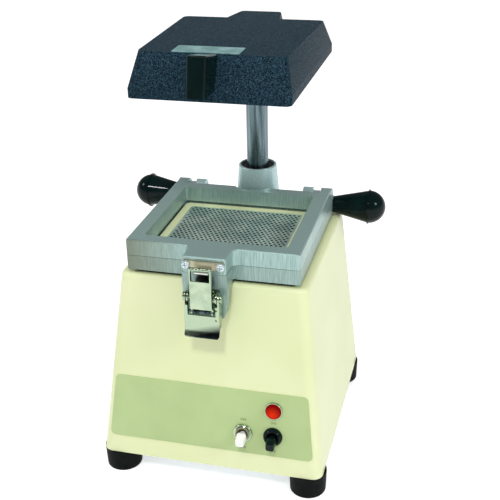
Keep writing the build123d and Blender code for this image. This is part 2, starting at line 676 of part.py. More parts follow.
def make_toggle_bodies():
    bodies = []
    wide, tall, deep = SWITCH_BODY
    high = (Align.CENTER, Align.CENTER, Align.MAX)
    for x in (VACUUM_SWITCH_X, HEATER_SWITCH_X):
        case = on_front(x, SWITCH_RISE, -HOUSING_WALL - SEAT_GAP) * Box(wide, tall, deep, align=high)
        neck_length = BUSHING_LENGTH + HOUSING_WALL + SEAT_GAP
        neck = on_front(x, SWITCH_RISE, BUSHING_LENGTH) * Cylinder(BUSHING_RADIUS, neck_length, align=high)
        funnel_height = BUSHING_LENGTH + 0.5
        funnel = on_front(x, SWITCH_RISE, BUSHING_LENGTH + 0.5) * Cone(
            TOGGLE_NECK + 0.6, BUSHING_RADIUS - 0.6, funnel_height, align=high)
        socket = switch_pivot(x) * Sphere(TOGGLE_BALL + RUN_GAP)
        pin_bore = switch_pivot(x) * Rot(0, 90, 0) * Cylinder(
            TOGGLE_PIN_RADIUS + PIN_CLEAR, (TOGGLE_PIN_REACH + SEAT_GAP) * 2)
        bodies.append(case + neck - funnel - socket - pin_bore)
    return group(bodies)


def make_toggle_nuts():
    low = (Align.CENTER, Align.CENTER, Align.MIN)
    nuts = []
    for x in (VACUUM_SWITCH_X, HEATER_SWITCH_X):
        place = on_front(x, SWITCH_RISE, PANEL_THICK)
        ring = place * Cylinder(NUT_RADIUS, NUT_THICK, align=low)
        ring = chamfer(ring.faces().sort_by(Axis.Y)[0].edges(), 0.6)
        nuts.append(ring - place * Cylinder(BUSHING_RADIUS + SEAT_GAP, NUT_THICK, align=low))
    return group(nuts)


def make_toggle(x):
    """A sleeved lever on its ball and cross pin, hanging in its lower, off position."""
    low = (Align.CENTER, Align.CENTER, Align.MIN)
    neck = Cylinder(TOGGLE_NECK, TOGGLE_LENGTH - TOGGLE_ROUND, align=low)
    sleeve = Pos(0, 0, TOGGLE_SLEEVE_START) * Cone(
        TOGGLE_SLEEVE, TOGGLE_TIP, TOGGLE_LENGTH - TOGGLE_SLEEVE_START, align=low)
    sleeve = fillet(sleeve.faces().sort_by(Axis.Z)[-1].edges(), TOGGLE_ROUND)
    cross_pin = Rot(0, 90, 0) * Cylinder(TOGGLE_PIN_RADIUS, TOGGLE_PIN_REACH * 2)
    lever = neck + sleeve + Sphere(TOGGLE_BALL) + cross_pin
    return switch_pivot(x) * Rot(TOGGLE_REST, 0, 0) * lever


def make_cord_bush():
    z = HOUSING_BOTTOM + CORD_HOLE_HEIGHT
    lean = TOP_REAR_INSET * CORD_HOLE_HEIGHT / HOUSING_HEIGHT
    wall_out = HOUSING_REAR - lean + RUN_GAP
    wall_in = HOUSING_REAR - lean - HOUSING_WALL - RUN_GAP
    neck = rod_y(0, z, wall_in, wall_out, CORD_HOLE_RADIUS - SEAT_GAP)
    outer = rod_y(0, z, wall_out, wall_out + 2.5, CORD_HOLE_RADIUS + 2.5)
    inner = rod_y(0, z, wall_in - 2.5, wall_in, CORD_HOLE_RADIUS + 1.5)
    return neck + outer + inner - rod_y(0, z, wall_in - 3, wall_out + 3, CORD_BORE_RADIUS)


# ------------------------------------------------------------------ vacuum motor
FAN_TOP = CEILING - INTAKE_SEAL_HEIGHT
FAN_BOTTOM = FAN_TOP - FAN_CASE_HEIGHT
MOTOR_TOP = FAN_BOTTOM - MOTOR_FLANGE_THICK
MOTOR_BOTTOM = MOTOR_TOP - MOTOR_FRAME_HEIGHT
IMPELLER_LOW = FAN_BOTTOM + IMPELLER_CLEAR * 2
CORE_LOW = MOTOR_BOTTOM + STATOR_RISE
STATOR_OUTER = MOTOR_FRAME_RADIUS - MOTOR_FRAME_WALL
STATOR_INNER = STATOR_OUTER - STATOR_WALL


def motor_stud_places():
    """The four studs that hang the motor from the housing's roof."""
    reach = STUD_CIRCLE * math.sqrt(0.5)
    return [(sx * reach, MOTOR_Y + sy * reach) for sx in (-1, 1) for sy in (-1, 1)]


def make_intake_seal():
    ring = rod(0, MOTOR_Y, FAN_TOP, CEILING, INTAKE_RADIUS + INTAKE_SEAL_WIDTH)
    return ring - rod(0, MOTOR_Y, FAN_TOP, CEILING, INTAKE_RADIUS + 1)


def make_fan_case():
    case = rod(0, MOTOR_Y, FAN_BOTTOM, FAN_TOP, FAN_CASE_RADIUS)
    inner_radius = FAN_CASE_RADIUS - FAN_CASE_SHEET
    case = case - rod(0, MOTOR_Y, FAN_BOTTOM, FAN_TOP - FAN_CASE_SHEET, inner_radius)
    return case - rod(0, MOTOR_Y, FAN_BOTTOM, FAN_TOP, INTAKE_RADIUS)


def make_motor_frame():
    flange = rod(0, MOTOR_Y, MOTOR_TOP, FAN_BOTTOM, STUD_CIRCLE + MOTOR_STUD_RADIUS * 2.5)
    can = rod(0, MOTOR_Y, MOTOR_BOTTOM, MOTOR_TOP, MOTOR_FRAME_RADIUS)
    room = rod(0, MOTOR_Y, MOTOR_BOTTOM + BEARING_WIDTH, MOTOR_TOP - BEARING_WIDTH, STATOR_OUTER)
    bore = rod(0, MOTOR_Y, MOTOR_BOTTOM, FAN_BOTTOM, BEARING_RADIUS)
    body = flange + can - room - bore
    for x, y in motor_stud_places():
        body = body - rod(x, y, MOTOR_TOP, FAN_BOTTOM, MOTOR_STUD_RADIUS + SCREW_CLEAR)
    window = Box(MOTOR_FRAME_WALL * 3, MOTOR_WINDOW_WIDTH, MOTOR_WINDOW_HEIGHT)
    window = Pos(MOTOR_FRAME_RADIUS, 0, CORE_LOW - COMMUTATOR_LENGTH * 0.7) * window
    for number in range(8):
        body = body - Pos(0, MOTOR_Y, 0) * Rot(0, 0, 22.5 + 45 * number) * window
    return body


def make_stator():
    ring = rod(0, MOTOR_Y, CORE_LOW, CORE_LOW + STATOR_HEIGHT, STATOR_OUTER - SEAT_GAP)
    return ring - rod(0, MOTOR_Y, CORE_LOW, CORE_LOW + STATOR_HEIGHT, STATOR_INNER)


def make_armature():
    shaft_bore = SHAFT_RADIUS + PIN_CLEAR
    core = rod(0, MOTOR_Y, CORE_LOW, CORE_LOW + STATOR_HEIGHT, STATOR_INNER - AIR_GAP)
    commutator = rod(0, MOTOR_Y, CORE_LOW - COMMUTATOR_LENGTH, CORE_LOW, COMMUTATOR_RADIUS)
    low = CORE_LOW - COMMUTATOR_LENGTH
    return core + commutator - rod(0, MOTOR_Y, low, CORE_LOW + STATOR_HEIGHT, shaft_bore)


def make_motor_shaft():
    return rod(0, MOTOR_Y, MOTOR_BOTTOM + 1, IMPELLER_LOW + IMPELLER_HEIGHT, SHAFT_RADIUS)


def make_motor_bearings():
    rings = []
    for low in (MOTOR_BOTTOM, FAN_BOTTOM - BEARING_WIDTH):
        ring = rod(0, MOTOR_Y, low, low + BEARING_WIDTH, BEARING_RADIUS - PIN_CLEAR)
        rings.append(ring - rod(0, MOTOR_Y, low, low + BEARING_WIDTH, SHAFT_RADIUS + PIN_CLEAR))
    return group(rings)


def make_impeller():
    radius = FAN_CASE_RADIUS - FAN_CASE_SHEET - IMPELLER_CLEAR
    high = IMPELLER_LOW + IMPELLER_HEIGHT
    lower = rod(0, MOTOR_Y, IMPELLER_LOW, IMPELLER_LOW + IMPELLER_SHEET, radius)
    upper = rod(0, MOTOR_Y, high - IMPELLER_SHEET, high, radius)
    upper = upper - rod(0, MOTOR_Y, high - IMPELLER_SHEET, high, INTAKE_RADIUS)
    hub = rod(0, MOTOR_Y, IMPELLER_LOW, high, SHAFT_RADIUS * 2.5)
    wheel = lower + upper + hub
    inner = INTAKE_RADIUS + 2
    for number in range(IMPELLER_BLADES):
        blade = Pos((radius + inner) / 2, 0, (IMPELLER_LOW + high) / 2) * Rot(0, 0, 24) * Box(
            (radius - inner) * 0.9, IMPELLER_SHEET, IMPELLER_HEIGHT)
        wheel = wheel + Pos(0, MOTOR_Y, 0) * Rot(0, 0, 360 / IMPELLER_BLADES * number) * blade
    return wheel - rod(0, MOTOR_Y, IMPELLER_LOW, high, SHAFT_RADIUS + PIN_CLEAR)


def make_motor_studs():
    studs = []
    for x, y in motor_stud_places():
        shank = rod(x, y, MOTOR_TOP, CEILING, MOTOR_STUD_RADIUS)
        nut = rod(x, y, MOTOR_TOP - 4, MOTOR_TOP, MOTOR_STUD_RADIUS * 2)
        studs.append(shank + nut)
    return group(studs)


# ------------------------------------------------------------------ sheet frame
def make_lower_frame():
    half = FRAME_WIDTH / 2
    extra = LOWER_OPENING_EXTRA
    body = slab(half, FRAME_FRONT, LOWER_REAR, FRAME_BOTTOM, FRAME_SPLIT, FRAME_CORNER)
    tongue_half = LOWER_TONGUE_WIDTH / 2
    root = outline(
        rectangle_points(tongue_half, TONGUE_FRONT, FRAME_FRONT + FRONT_RAIL / 2), 0, FRAME_BOTTOM)
    body = body + extrude(root, amount=LOWER_THICK)
    body = body + lower_tongue()
    body = body - slab(
        OPENING_WIDTH / 2 + extra, OPENING_FRONT - extra, OPENING_REAR + extra,
        FRAME_BOTTOM, FRAME_SPLIT, OPENING_CORNER,
    )
    body = body + rod_x(KNOB_Y, KNOB_Z, -half + RUN_GAP, half - RUN_GAP, KNOB_BAR_RADIUS)
    collar = Pos(0, POST_Y, (FRAME_BOTTOM + COLLAR_TOP) / 2) * Cone(
        COLLAR_BOTTOM_RADIUS, COLLAR_TOP_RADIUS, COLLAR_HEIGHT)
    collar = fillet(collar.faces().sort_by(Axis.Z)[-1].edges(), COLLAR_ROUND)
    body = body + collar
    for side in (-1, 1):
        x0, x1 = sorted((side * KNUCKLE_INNER, side * (KNUCKLE_INNER + KNUCKLE_WIDTH)))
        foot = block(x0, x1, HINGE_Y - EAR_RADIUS, HINGE_Y + EAR_RADIUS, KNOB_Z, HINGE_Z)
        body = body + foot + rod_x(HINGE_Y, HINGE_Z, x0, x1, EAR_RADIUS)
        body = body - rod_x(HINGE_Y, HINGE_Z, x0 - 1, x1 + 1, HINGE_PIN_RADIUS + PIN_CLEAR)
        s0, s1 = sorted((side * (half - STUD_LENGTH + STUD_IN_KNOB), side * half))
        body = body - rod_x(KNOB_Y, KNOB_Z, s0, s1, STUD_RADIUS + PIN_CLEAR)
    body = body - rod(0, POST_Y, KNOB_Z - KNOB_BAR_RADIUS, COLLAR_TOP, BUSH_RADIUS + PIN_CLEAR)
    body = body - rod_y(0, DETENT_Z, POST_Y, POST_Y + COLLAR_BOTTOM_RADIUS, DETENT_RADIUS + PIN_CLEAR)
    body = body - gasket_ring(SEAT_GAP, FRAME_SPLIT - GASKET_THICK, FRAME_SPLIT)
    for x, z in latch_screw_places():
        body = body - rod_y(x, z, TONGUE_FRONT, TONGUE_FRONT + BASE_SCREW_DEPTH, LATCH_SCREW_RADIUS)
    return body


def lower_tongue():
    """The tapered plate that hangs from the lower half and carries the latch."""
    top = FRAME_SPLIT
    low = FRAME_BOTTOM - TONGUE_DROP
    wide = LOWER_TONGUE_WIDTH / 2
    tip = LOWER_TONGUE_TIP / 2
    shoulder = FRAME_BOTTOM - TONGUE_SHOULDER
    points = [(-wide, top), (-wide, shoulder), (-tip, low), (tip, low), (wide, shoulder), (wide, top)]
    face = make_face(Polyline(*points, close=True))
    low_corners = face.vertices().filter_by(lambda v: v.Y < low + 0.1)
    face = fillet(low_corners, TONGUE_TIP_ROUND)
    plate = extrude(Plane.XZ * face, amount=TONGUE_PLATE)
    return Pos(0, TONGUE_FRONT + TONGUE_PLATE, 0) * plate


def gasket_ring(grow, z0, z1):
    """A band round the opening, midway across the rails."""
    middle = OPENING_WIDTH / 2 + (FRAME_WIDTH - OPENING_WIDTH) / 4 + LOWER_OPENING_EXTRA / 2
    out = GASKET_WIDTH / 2 + grow
    step = middle - OPENING_WIDTH / 2
    front = OPENING_FRONT - step
    rear = OPENING_REAR + step
    outer = slab(middle + out, front - out, rear + out, z0, z1, OPENING_CORNER + GASKET_WIDTH)
    return outer - slab(middle - out, front + out, rear - out, z0, z1, OPENING_CORNER)


def make_frame_gasket():
    return gasket_ring(0, FRAME_SPLIT - GASKET_THICK, FRAME_SPLIT + RUN_GAP / 2)


DETENT_Z = FRAME_BOTTOM + DETENT_RISE


def make_post_bush():
    bush = rod(0, POST_Y, FRAME_BOTTOM, COLLAR_TOP - BUSH_DROP, BUSH_RADIUS)
    bush = bush - rod(0, POST_Y, FRAME_BOTTOM, COLLAR_TOP, POST_RADIUS + SLIDE_CLEAR)
    return bush - rod_y(0, DETENT_Z, POST_Y, POST_Y + BUSH_RADIUS + 1, DETENT_RADIUS + PIN_CLEAR)


def make_detent_ball():
    y = POST_Y + POST_RADIUS + SLIDE_CLEAR + DETENT_RADIUS
    return Pos(0, y, DETENT_Z) * Sphere(DETENT_RADIUS)


def make_detent_spring():
    """A short coil spring behind the ball."""
    wire = 0.5
    start = POST_Y + POST_RADIUS + DETENT_RADIUS * 2 + 0.6
    path = Helix(pitch=1.3, height=DETENT_SPRING_LENGTH - 2 * wire, radius=DETENT_RADIUS - wire)
    profile = Plane(origin=path @ 0, z_dir=path % 0) * Circle(wire / 2)
    coil = sweep(profile, path=path)
    return Pos(0, start, DETENT_Z) * Rot(-90, 0, 0) * coil


def make_detent_screw():
    start = POST_Y + POST_RADIUS + DETENT_RADIUS * 2 + DETENT_SPRING_LENGTH
    plug = rod_y(0, DETENT_Z, start, start + DETENT_SCREW_LENGTH, DETENT_RADIUS)
    return plug - block(-3, 3, start + DETENT_SCREW_LENGTH - 1, start + 9, DETENT_Z - 0.4, DETENT_Z + 0.4)


def upper_plan():
    """The upper half seen from above, tongue and ears included."""
    half = FRAME_WIDTH / 2
    tongue = UPPER_TONGUE_WIDTH / 2
    ear = half - EAR_WIDTH
    points = [
        (-half, FRAME_FRONT), (-tongue, FRAME_FRONT), (-tongue, TONGUE_FRONT), (tongue, TONGUE_FRONT),
        (tongue, FRAME_FRONT), (half, FRAME_FRONT), (half, HINGE_Y), (ear, HINGE_Y), (ear, RAIL_REAR),
        (-ear, RAIL_REAR), (-ear, HINGE_Y), (-half, HINGE_Y),
    ]
    face = make_face(Polyline(*points, close=True))
    rounded = [
        (tongue, FRAME_FRONT, TONGUE_FILLET), (half, FRAME_FRONT, FRAME_CORNER),
        (tongue, TONGUE_FRONT, TONGUE_CORNER),
    ]
    for x, y, radius in rounded:
        corners = [v for v in face.vertices() if abs(abs(v.X) - x) < 0.1 and abs(v.Y - y) < 0.1]
        face = fillet(corners, radius)
    return face


def make_upper_frame():
    half = FRAME_WIDTH / 2
    body = extrude(Pos(0, 0, UPPER_BOTTOM) * upper_plan(), amount=UPPER_THICK)
    body = chamfer(body.faces().sort_by(Axis.Z)[-1].edges(), FRAME_EDGE)
    opening = slab(
        OPENING_WIDTH / 2, OPENING_FRONT, OPENING_REAR, UPPER_BOTTOM, FRAME_TOP, OPENING_CORNER)
    notch_y = RAIL_REAR - NOTCH_DEPTH + NOTCH_RADIUS
    body = body - opening - rod(0, notch_y, UPPER_BOTTOM, FRAME_TOP, NOTCH_RADIUS)
    for side in (-1, 1):
        x0, x1 = sorted((side * (half - EAR_WIDTH), side * half))
        end = block(x0, x1, HINGE_Y - 1, HINGE_Y + EAR_RADIUS + 1, UPPER_BOTTOM, FRAME_TOP)
        body = body - end + rod_x(HINGE_Y, HINGE_Z, x0, x1, EAR_RADIUS)
        body = body - rod_x(HINGE_Y, HINGE_Z, x0 - 1, x1 + 1, HINGE_PIN_RADIUS + PIN_CLEAR)
    back = TONGUE_FRONT + KEEPER_SCREW_DEPTH
    for side in (-1, 1):
        body = body - rod_y(side * KEEPER_SCREW_X, KEEPER_SCREW_Z, TONGUE_FRONT, back, LATCH_SCREW_RADIUS)
    return body


def make_hinge_pins():
    pins = []
    for side in (-1, 1):
        x0, x1 = sorted((side * (KNUCKLE_INNER + 0.5), side * (FRAME_WIDTH / 2 - 0.5)))
        pins.append(rod_x(HINGE_Y, HINGE_Z, x0, x1, HINGE_PIN_RADIUS))
    return group(pins)


def make_hinge_spacers():
    spacers = []
    for side in (-1, 1):
        near = KNUCKLE_INNER + KNUCKLE_WIDTH + SEAT_GAP
        far = FRAME_WIDTH / 2 - EAR_WIDTH - RUN_GAP
        x0, x1 = sorted((side * near, side * far))
        ring = rod_x(HINGE_Y, HINGE_Z, x0, x1, SPACER_RADIUS)
        spacers.append(ring - rod_x(HINGE_Y, HINGE_Z, x0, x1, HINGE_PIN_RADIUS + PIN_CLEAR))
    return group(spacers)


def make_knob_studs():
    studs = []
    for side in (-1, 1):
        outer = FRAME_WIDTH / 2 + STUD_IN_KNOB
        x0, x1 = sorted((side * (outer - STUD_LENGTH), side * outer))
        studs.append(rod_x(KNOB_Y, KNOB_Z, x0, x1, STUD_RADIUS))
    return group(studs)


def make_slide_knobs():
    """Grips turned about the stud: a straight cone, a round end, and a thin seam between them."""
    seam = KNOB_LENGTH - KNOB_BALL
    near, far = seam - KNOB_SEAM_WIDTH / 2, seam + KNOB_SEAM_WIDTH / 2
    rim = KNOB_BALL + KNOB_SEAM_PROUD
    bore, bore_end = STUD_RADIUS + PIN_CLEAR, STUD_IN_KNOB + 1
    flank = Polyline(
        (KNOB_LENGTH, 0), (bore_end, 0), (bore_end, bore), (0, bore), (0, KNOB_NECK),
        (near, KNOB_NECK + (KNOB_BALL - KNOB_NECK) * near / seam), (near, rim), (far, rim),
        (far, math.sqrt(KNOB_BALL ** 2 - (far - seam) ** 2)))
    slant = KNOB_BALL * math.sqrt(0.5)
    end = ThreePointArc(flank @ 1, (seam + slant, slant), flank @ 0)
    solid = revolve(make_face([*flank.edges(), end]), Axis.X)
    right = Pos(FRAME_WIDTH / 2, KNOB_Y, KNOB_Z) * solid
    left = Pos(-FRAME_WIDTH / 2, KNOB_Y, KNOB_Z) * Rot(0, 0, 180) * solid
    return group([right, left])


# ------------------------------------------------------------------ latch
KEEPER_HIGH = FRAME_TOP - KEEPER_TOP
KEEPER_LOW = KEEPER_HIGH - KEEPER_HEIGHT
KEEPER_SCREW_Z = (KEEPER_HIGH + KEEPER_LOW) / 2
LEVER_FRONT = PIVOT_Y - LEVER_DEPTH / 2
LEVER_LOW = PIVOT_Z - LEVER_BOTTOM
BAR_Y = CLAW_FACE_Y + CLAW_BAR_SET_BACK
BAR_Z = PIVOT_Z + CLAW_BAR_RISE
LIP_Y = BAR_Y + CLAW_BAR_RADIUS + RUN_GAP + LIP_RADIUS
LIP_Z = BAR_Z - CLAW_BAR_RADIUS - LIP_BELOW_BAR - LIP_RADIUS


def latch_screw_places():
    """Where the latch base is screwed to the tongue."""
    z_high = PIVOT_Z + BASE_ABOVE - BASE_SCREW_INSET
    z_low = PIVOT_Z - BASE_BELOW + BASE_SCREW_INSET
    return [(side * BASE_SCREW_X, z) for side in (-1, 1) for z in (z_low, z_high)]


def make_keeper_plate():
    """A small plate with a rolled lip that the claw's bar closes over."""
    low_y = TONGUE_FRONT - KEEPER_THICK
    plate = block(-KEEPER_HALF, KEEPER_HALF, low_y, TONGUE_FRONT, KEEPER_LOW, KEEPER_HIGH)
    plate = fillet(plate.edges().filter_by(Axis.Y), KEEPER_CORNER)
    tab = block(-LIP_HALF, LIP_HALF, low_y, TONGUE_FRONT, LIP_Z - LIP_SHEET / 2, KEEPER_SCREW_Z)
    shelf = block(-LIP_HALF, LIP_HALF, LIP_Y, TONGUE_FRONT, LIP_Z - LIP_SHEET / 2, LIP_Z + LIP_SHEET / 2)
    body = plate + tab + shelf + rod_x(LIP_Y, LIP_Z, -LIP_HALF, LIP_HALF, LIP_RADIUS)
    bore = LATCH_SCREW_RADIUS + SCREW_CLEAR
    for side in (-1, 1):
        body = body - rod_y(side * KEEPER_SCREW_X, KEEPER_SCREW_Z, low_y, TONGUE_FRONT, bore)
    return body


def round_screw(x, z, seat_y, depth, head_radius, head_height):
    """A domed, cross-slotted screw that goes in along +Y."""
    shank = rod_y(x, z, seat_y, seat_y + depth, LATCH_SCREW_RADIUS)
    head = rod_y(x, z, seat_y - head_height, seat_y, head_radius)
    head = fillet(head.faces().sort_by(Axis.Y)[0].edges(), head_height * 0.6)
    half = head_radius * 0.6
    slot = LATCH_SCREW_RADIUS * 0.27
    front = seat_y - head_height
    cut_y = seat_y - head_height * 0.45
    across = block(x - half, x + half, front, cut_y, z - slot, z + slot)
    upright = block(x - slot, x + slot, front, cut_y, z - half, z + half)
    return shank + head - across - upright


def make_keeper_screws():
    seat = TONGUE_FRONT - KEEPER_THICK
    return group([
        round_screw(side * KEEPER_SCREW_X, KEEPER_SCREW_Z, seat, KEEPER_SCREW_DEPTH,
                    KEEPER_HEAD_RADIUS, KEEPER_HEAD_HEIGHT)
        for side in (-1, 1)
    ])


def make_latch_base():
    back = TONGUE_FRONT - LATCH_SHEET
    body = block(-EAR_HALF, EAR_HALF, back, TONGUE_FRONT, PIVOT_Z - BASE_BELOW, PIVOT_Z + BASE_ABOVE)
    for side in (-1, 1):
        x0, x1 = sorted((side * EAR_HALF, side * (EAR_HALF - LATCH_SHEET)))
        ear = block(x0, x1, PIVOT_Y, back, PIVOT_Z - EAR_ROUND, PIVOT_Z + EAR_ROUND)
        body = body + ear + rod_x(PIVOT_Y, PIVOT_Z, x0, x1, EAR_ROUND)
        body = body - rod_x(PIVOT_Y, PIVOT_Z, x0, x1, PIVOT_RADIUS + PIN_CLEAR)
    for x, z in latch_screw_places():
        body = body - rod_y(x, z, back, TONGUE_FRONT, LATCH_SCREW_RADIUS + SCREW_CLEAR)
    return body


def make_latch_base_screws():
    seat = TONGUE_FRONT - LATCH_SHEET
    return group([
        round_screw(x, z, seat, BASE_SCREW_DEPTH, BASE_HEAD_RADIUS, BASE_HEAD_HEIGHT)
        for x, z in latch_screw_places()
    ])


def make_latch_pin():
    """The lever's pivot, headed at both ends."""
    reach = LEVER_HALF + RUN_GAP
    pin = rod_x(PIVOT_Y, PIVOT_Z, -reach, reach, PIVOT_RADIUS)
    for side in (-1, 1):
        x0, x1 = sorted((side * reach, side * (reach + PIVOT_HEAD_THICK)))
        pin = pin + rod_x(PIVOT_Y, PIVOT_Z, x0, x1, PIVOT_HEAD)
    return pin


def make_latch_lever():
    """A folded sheet lever: a front plate with an out-curved end, and a wall at each side."""
    back = LEVER_FRONT + LEVER_DEPTH
    bend_z = LEVER_LOW + LIP_HEIGHT
    plate_top = PIVOT_Z - LEVER_PLATE_TOP
    inner_y = LEVER_FRONT + LATCH_SHEET
    body = block(-LEVER_HALF, LEVER_HALF, LEVER_FRONT, inner_y, bend_z, plate_top)
    for side in (-1, 1):
        x0, x1 = sorted((side * LEVER_HALF, side * (LEVER_HALF - LATCH_SHEET)))
        profile = [(LEVER_FRONT, bend_z), (LEVER_FRONT, PIVOT_Z), (back, PIVOT_Z),
                   (back, plate_top), (back - LEVER_TAPER, bend_z)]
        wall = Pos(x0, 0, 0) * extrude(Plane.YZ * make_face(Polyline(*profile, close=True)), amount=x1 - x0)
        s0, s1 = sorted((side * LEVER_HALF, side * (LEVER_HALF - LEVER_STRIP)))
        strip = block(s0, s1, LEVER_FRONT, inner_y, bend_z, PIVOT_Z - LEVER_STRIP_TOP)
        body = body + wall + rod_x(PIVOT_Y, PIVOT_Z, x0, x1, LEVER_DEPTH / 2) + strip
    folds = body.edges().filter_by(Axis.Z).filter_by(
        lambda e: e.center().Y < LEVER_FRONT + 0.01 and abs(e.center().X) > LEVER_HALF - 0.01)
    body = fillet(folds, LEVER_BEND)
    for side in (-1, 1):
        x0, x1 = sorted((side * LEVER_HALF, side * (LEVER_HALF - LATCH_SHEET)))
        body = body - rod_x(PIVOT_Y, PIVOT_Z, x0, x1, PIVOT_RADIUS + PIN_CLEAR)
        body = body - rod_x(CLAW_PIN_Y, CLAW_PIN_Z, x0, x1, CLAW_PIN_RADIUS + PIN_CLEAR)
    for z in (plate_top - LEVER_STRIP, PIVOT_Z - LEVER_STRIP_TOP - LEVER_STRIP):
        body = body - rod_y(LEVER_HOLE_X, z, LEVER_FRONT, inner_y, LEVER_HOLE)
    return body + lever_lip(bend_z)


def lever_lip(bend_z):
    """The end of the lever's plate, curved out for a fingertip, with rounded corners."""
    centre = Pos(0, LEVER_FRONT - LIP_CURVE, bend_z) * Rot(0, 90, 0)
    curve = centre * Cylinder(LIP_CURVE + LATCH_SHEET, LEVER_HALF * 2)
    curve = curve - centre * Cylinder(LIP_CURVE, LEVER_HALF * 2)
    band = block(
        -LEVER_HALF, LEVER_HALF, LEVER_FRONT - LIP_CURVE, LEVER_FRONT + LATCH_SHEET, LEVER_LOW, bend_z)
    corners = band.edges().filter_by(Axis.Y).sort_by(Axis.Z)[:2]
    return curve & fillet(corners, LIP_CORNER)


def make_claw_pin():
    return rod_x(CLAW_PIN_Y, CLAW_PIN_Z, -LEVER_HALF, LEVER_HALF, CLAW_PIN_RADIUS)


def make_latch_claw():
    """A sheet claw: a front plate, a wall at each side, and a round bar across the top."""
    back = CLAW_FACE_Y + LATCH_SHEET
    low = CLAW_PIN_Z + CLAW_PLATE_BOTTOM
    high = PIVOT_Z + CLAW_PLATE_TOP
    neck = PIVOT_Z + CLAW_NECK
    body = block(-CLAW_HALF, CLAW_HALF, CLAW_FACE_Y, back, low, high)
    for side in (-1, 1):
        x0, x1 = sorted((side * CLAW_HALF, side * (CLAW_HALF - LATCH_SHEET)))
        points = [(CLAW_FACE_Y, low), (CLAW_FACE_Y, high), (BAR_Y - CLAW_BAR_RADIUS, BAR_Z),
                  (BAR_Y + CLAW_BAR_RADIUS, BAR_Z), (BAR_Y + CLAW_BAR_RADIUS, high - LATCH_SHEET * 4),
                  (back, neck), (CLAW_PIN_Y + CLAW_EYE, CLAW_PIN_Z), (CLAW_PIN_Y - CLAW_STEM, CLAW_PIN_Z),
                  (CLAW_PIN_Y - CLAW_STEM, low)]
        face = make_face(Polyline(*points, close=True))
        wall = Pos(x0, 0, 0) * extrude(Plane.YZ * face, amount=x1 - x0)
        body = body + wall + rod_x(CLAW_PIN_Y, CLAW_PIN_Z, x0, x1, CLAW_EYE)
    folds = body.edges().filter_by(Axis.Z).filter_by(
        lambda e: e.center().Y < CLAW_FACE_Y + 0.01 and abs(e.center().X) > CLAW_HALF - 0.01)
    body = fillet(folds, CLAW_ROUND) + rod_x(BAR_Y, BAR_Z, -CLAW_HALF, CLAW_HALF, CLAW_BAR_RADIUS)
    for side in (-1, 1):
        x0, x1 = sorted((side * CLAW_HALF, side * (CLAW_HALF - LATCH_SHEET)))
        body = body - rod_x(CLAW_PIN_Y, CLAW_PIN_Z, x0, x1, CLAW_PIN_RADIUS + PIN_CLEAR)
    return body


def make_claw_springs():
    """Two coils round the claw pin."""
    pitch = SPRING_WIRE * 1.5
    springs = []
    for x in (-1, 1):
        path = Helix(pitch=pitch, height=pitch * SPRING_TURNS, radius=SPRING_RADIUS)
        profile = Plane(origin=path @ 0, z_dir=path % 0) * Circle(SPRING_WIRE / 2)
        coil = sweep(profile, path=path)
        start = x * 5.2 - pitch * SPRING_TURNS / 2
        springs.append(Pos(start, CLAW_PIN_Y, CLAW_PIN_Z) * Rot(0, 90, 0) * coil)
    return group(springs)


# ------------------------------------------------------------------ heater
def heater_top_points(wall):
    """The cover's top outline, in from its outer faces by a wall."""
    front_half = HEATER_TOP_FRONT_HALF - wall
    rear_half = HEATER_TOP_REAR_HALF - wall
    front = HEATER_TOP_FRONT + wall
    rear = HEATER_TOP_REAR - wall
    return [(-front_half, front), (front_half, front), (rear_half, rear), (-rear_half, rear)]


def hub_points(grow, rear):
    """The outline of the hub over the post, narrower at the back."""
    front = HEATER_TOP_REAR - 8
    front_half = HUB_FRONT_HALF + grow
    rear_half = HUB_REAR_HALF + grow
    return [(-front_half, front), (front_half, front), (rear_half, rear), (-rear_half, rear)]


def make_heater_cover():
    rim = rectangle_points(HEATER_HALF, HEATER_FRONT, HEATER_REAR)
    lip = slab(HEATER_HALF, HEATER_FRONT, HEATER_REAR, HEATER_BOTTOM, HEATER_SHOULDER, HEATER_CORNER)
    hood = lofted(rim, HEATER_CORNER, HEATER_SHOULDER, heater_top_points(0), HEATER_CORNER, HEATER_TOP)
    hub = lofted(
        hub_points(HUB_FLARE, HEATER_REAR), HUB_CORNER, HEATER_SHOULDER,
        hub_points(0, HUB_REAR), HUB_CORNER, HEATER_TOP,
    )
    body = lip + hood + hub
    wall = HEATER_WALL
    inner_rim = rectangle_points(HEATER_HALF - wall, HEATER_FRONT + wall, HEATER_REAR - wall)
    room = slab(
        HEATER_HALF - wall, HEATER_FRONT + wall, HEATER_REAR - wall,
        HEATER_BOTTOM, HEATER_SHOULDER, HEATER_CORNER - wall + 0.5,
    )
    inner_corner = HEATER_CORNER - wall + 0.5
    room = room + lofted(
        inner_rim, inner_corner, HEATER_SHOULDER, heater_top_points(wall), inner_corner, HEATER_TOP - wall)
    post_hub = rod(0, POST_Y, HEATER_BOTTOM + 1, HEATER_TOP - 1, HUB_RADIUS)
    body = body - (room - post_hub)
    body = body - rod(0, POST_Y, HEATER_BOTTOM, POST_TOP, HUB_BUSH_RADIUS + PIN_CLEAR)
    body = body - rod(0, POST_Y, POST_TOP - 1, POST_TOP + CAP_THICK + RUN_GAP, POST_RADIUS + 1)
    for x, y in reflector_screw_places():
        body = body - rod(x, y, HEATER_BOTTOM, HEATER_TOP - 1.2, REFLECTOR_SCREW_RADIUS + PIN_CLEAR)
    left = HANDLE_X - HANDLE_BOSS_HALF
    right = HANDLE_X + HANDLE_BOSS_HALF
    boss = block(left, right, HEATER_FRONT, HANDLE_BOSS_REAR, HEATER_SHOULDER, HEATER_TOP)
    body = body + (boss & hood)
    bore = HANDLE_SCREW_RADIUS + PIN_CLEAR
    for z in handle_screw_heights():
        body = body - rod_y(HANDLE_X, z, HEATER_FRONT, HANDLE_BOSS_REAR, bore)
    return body


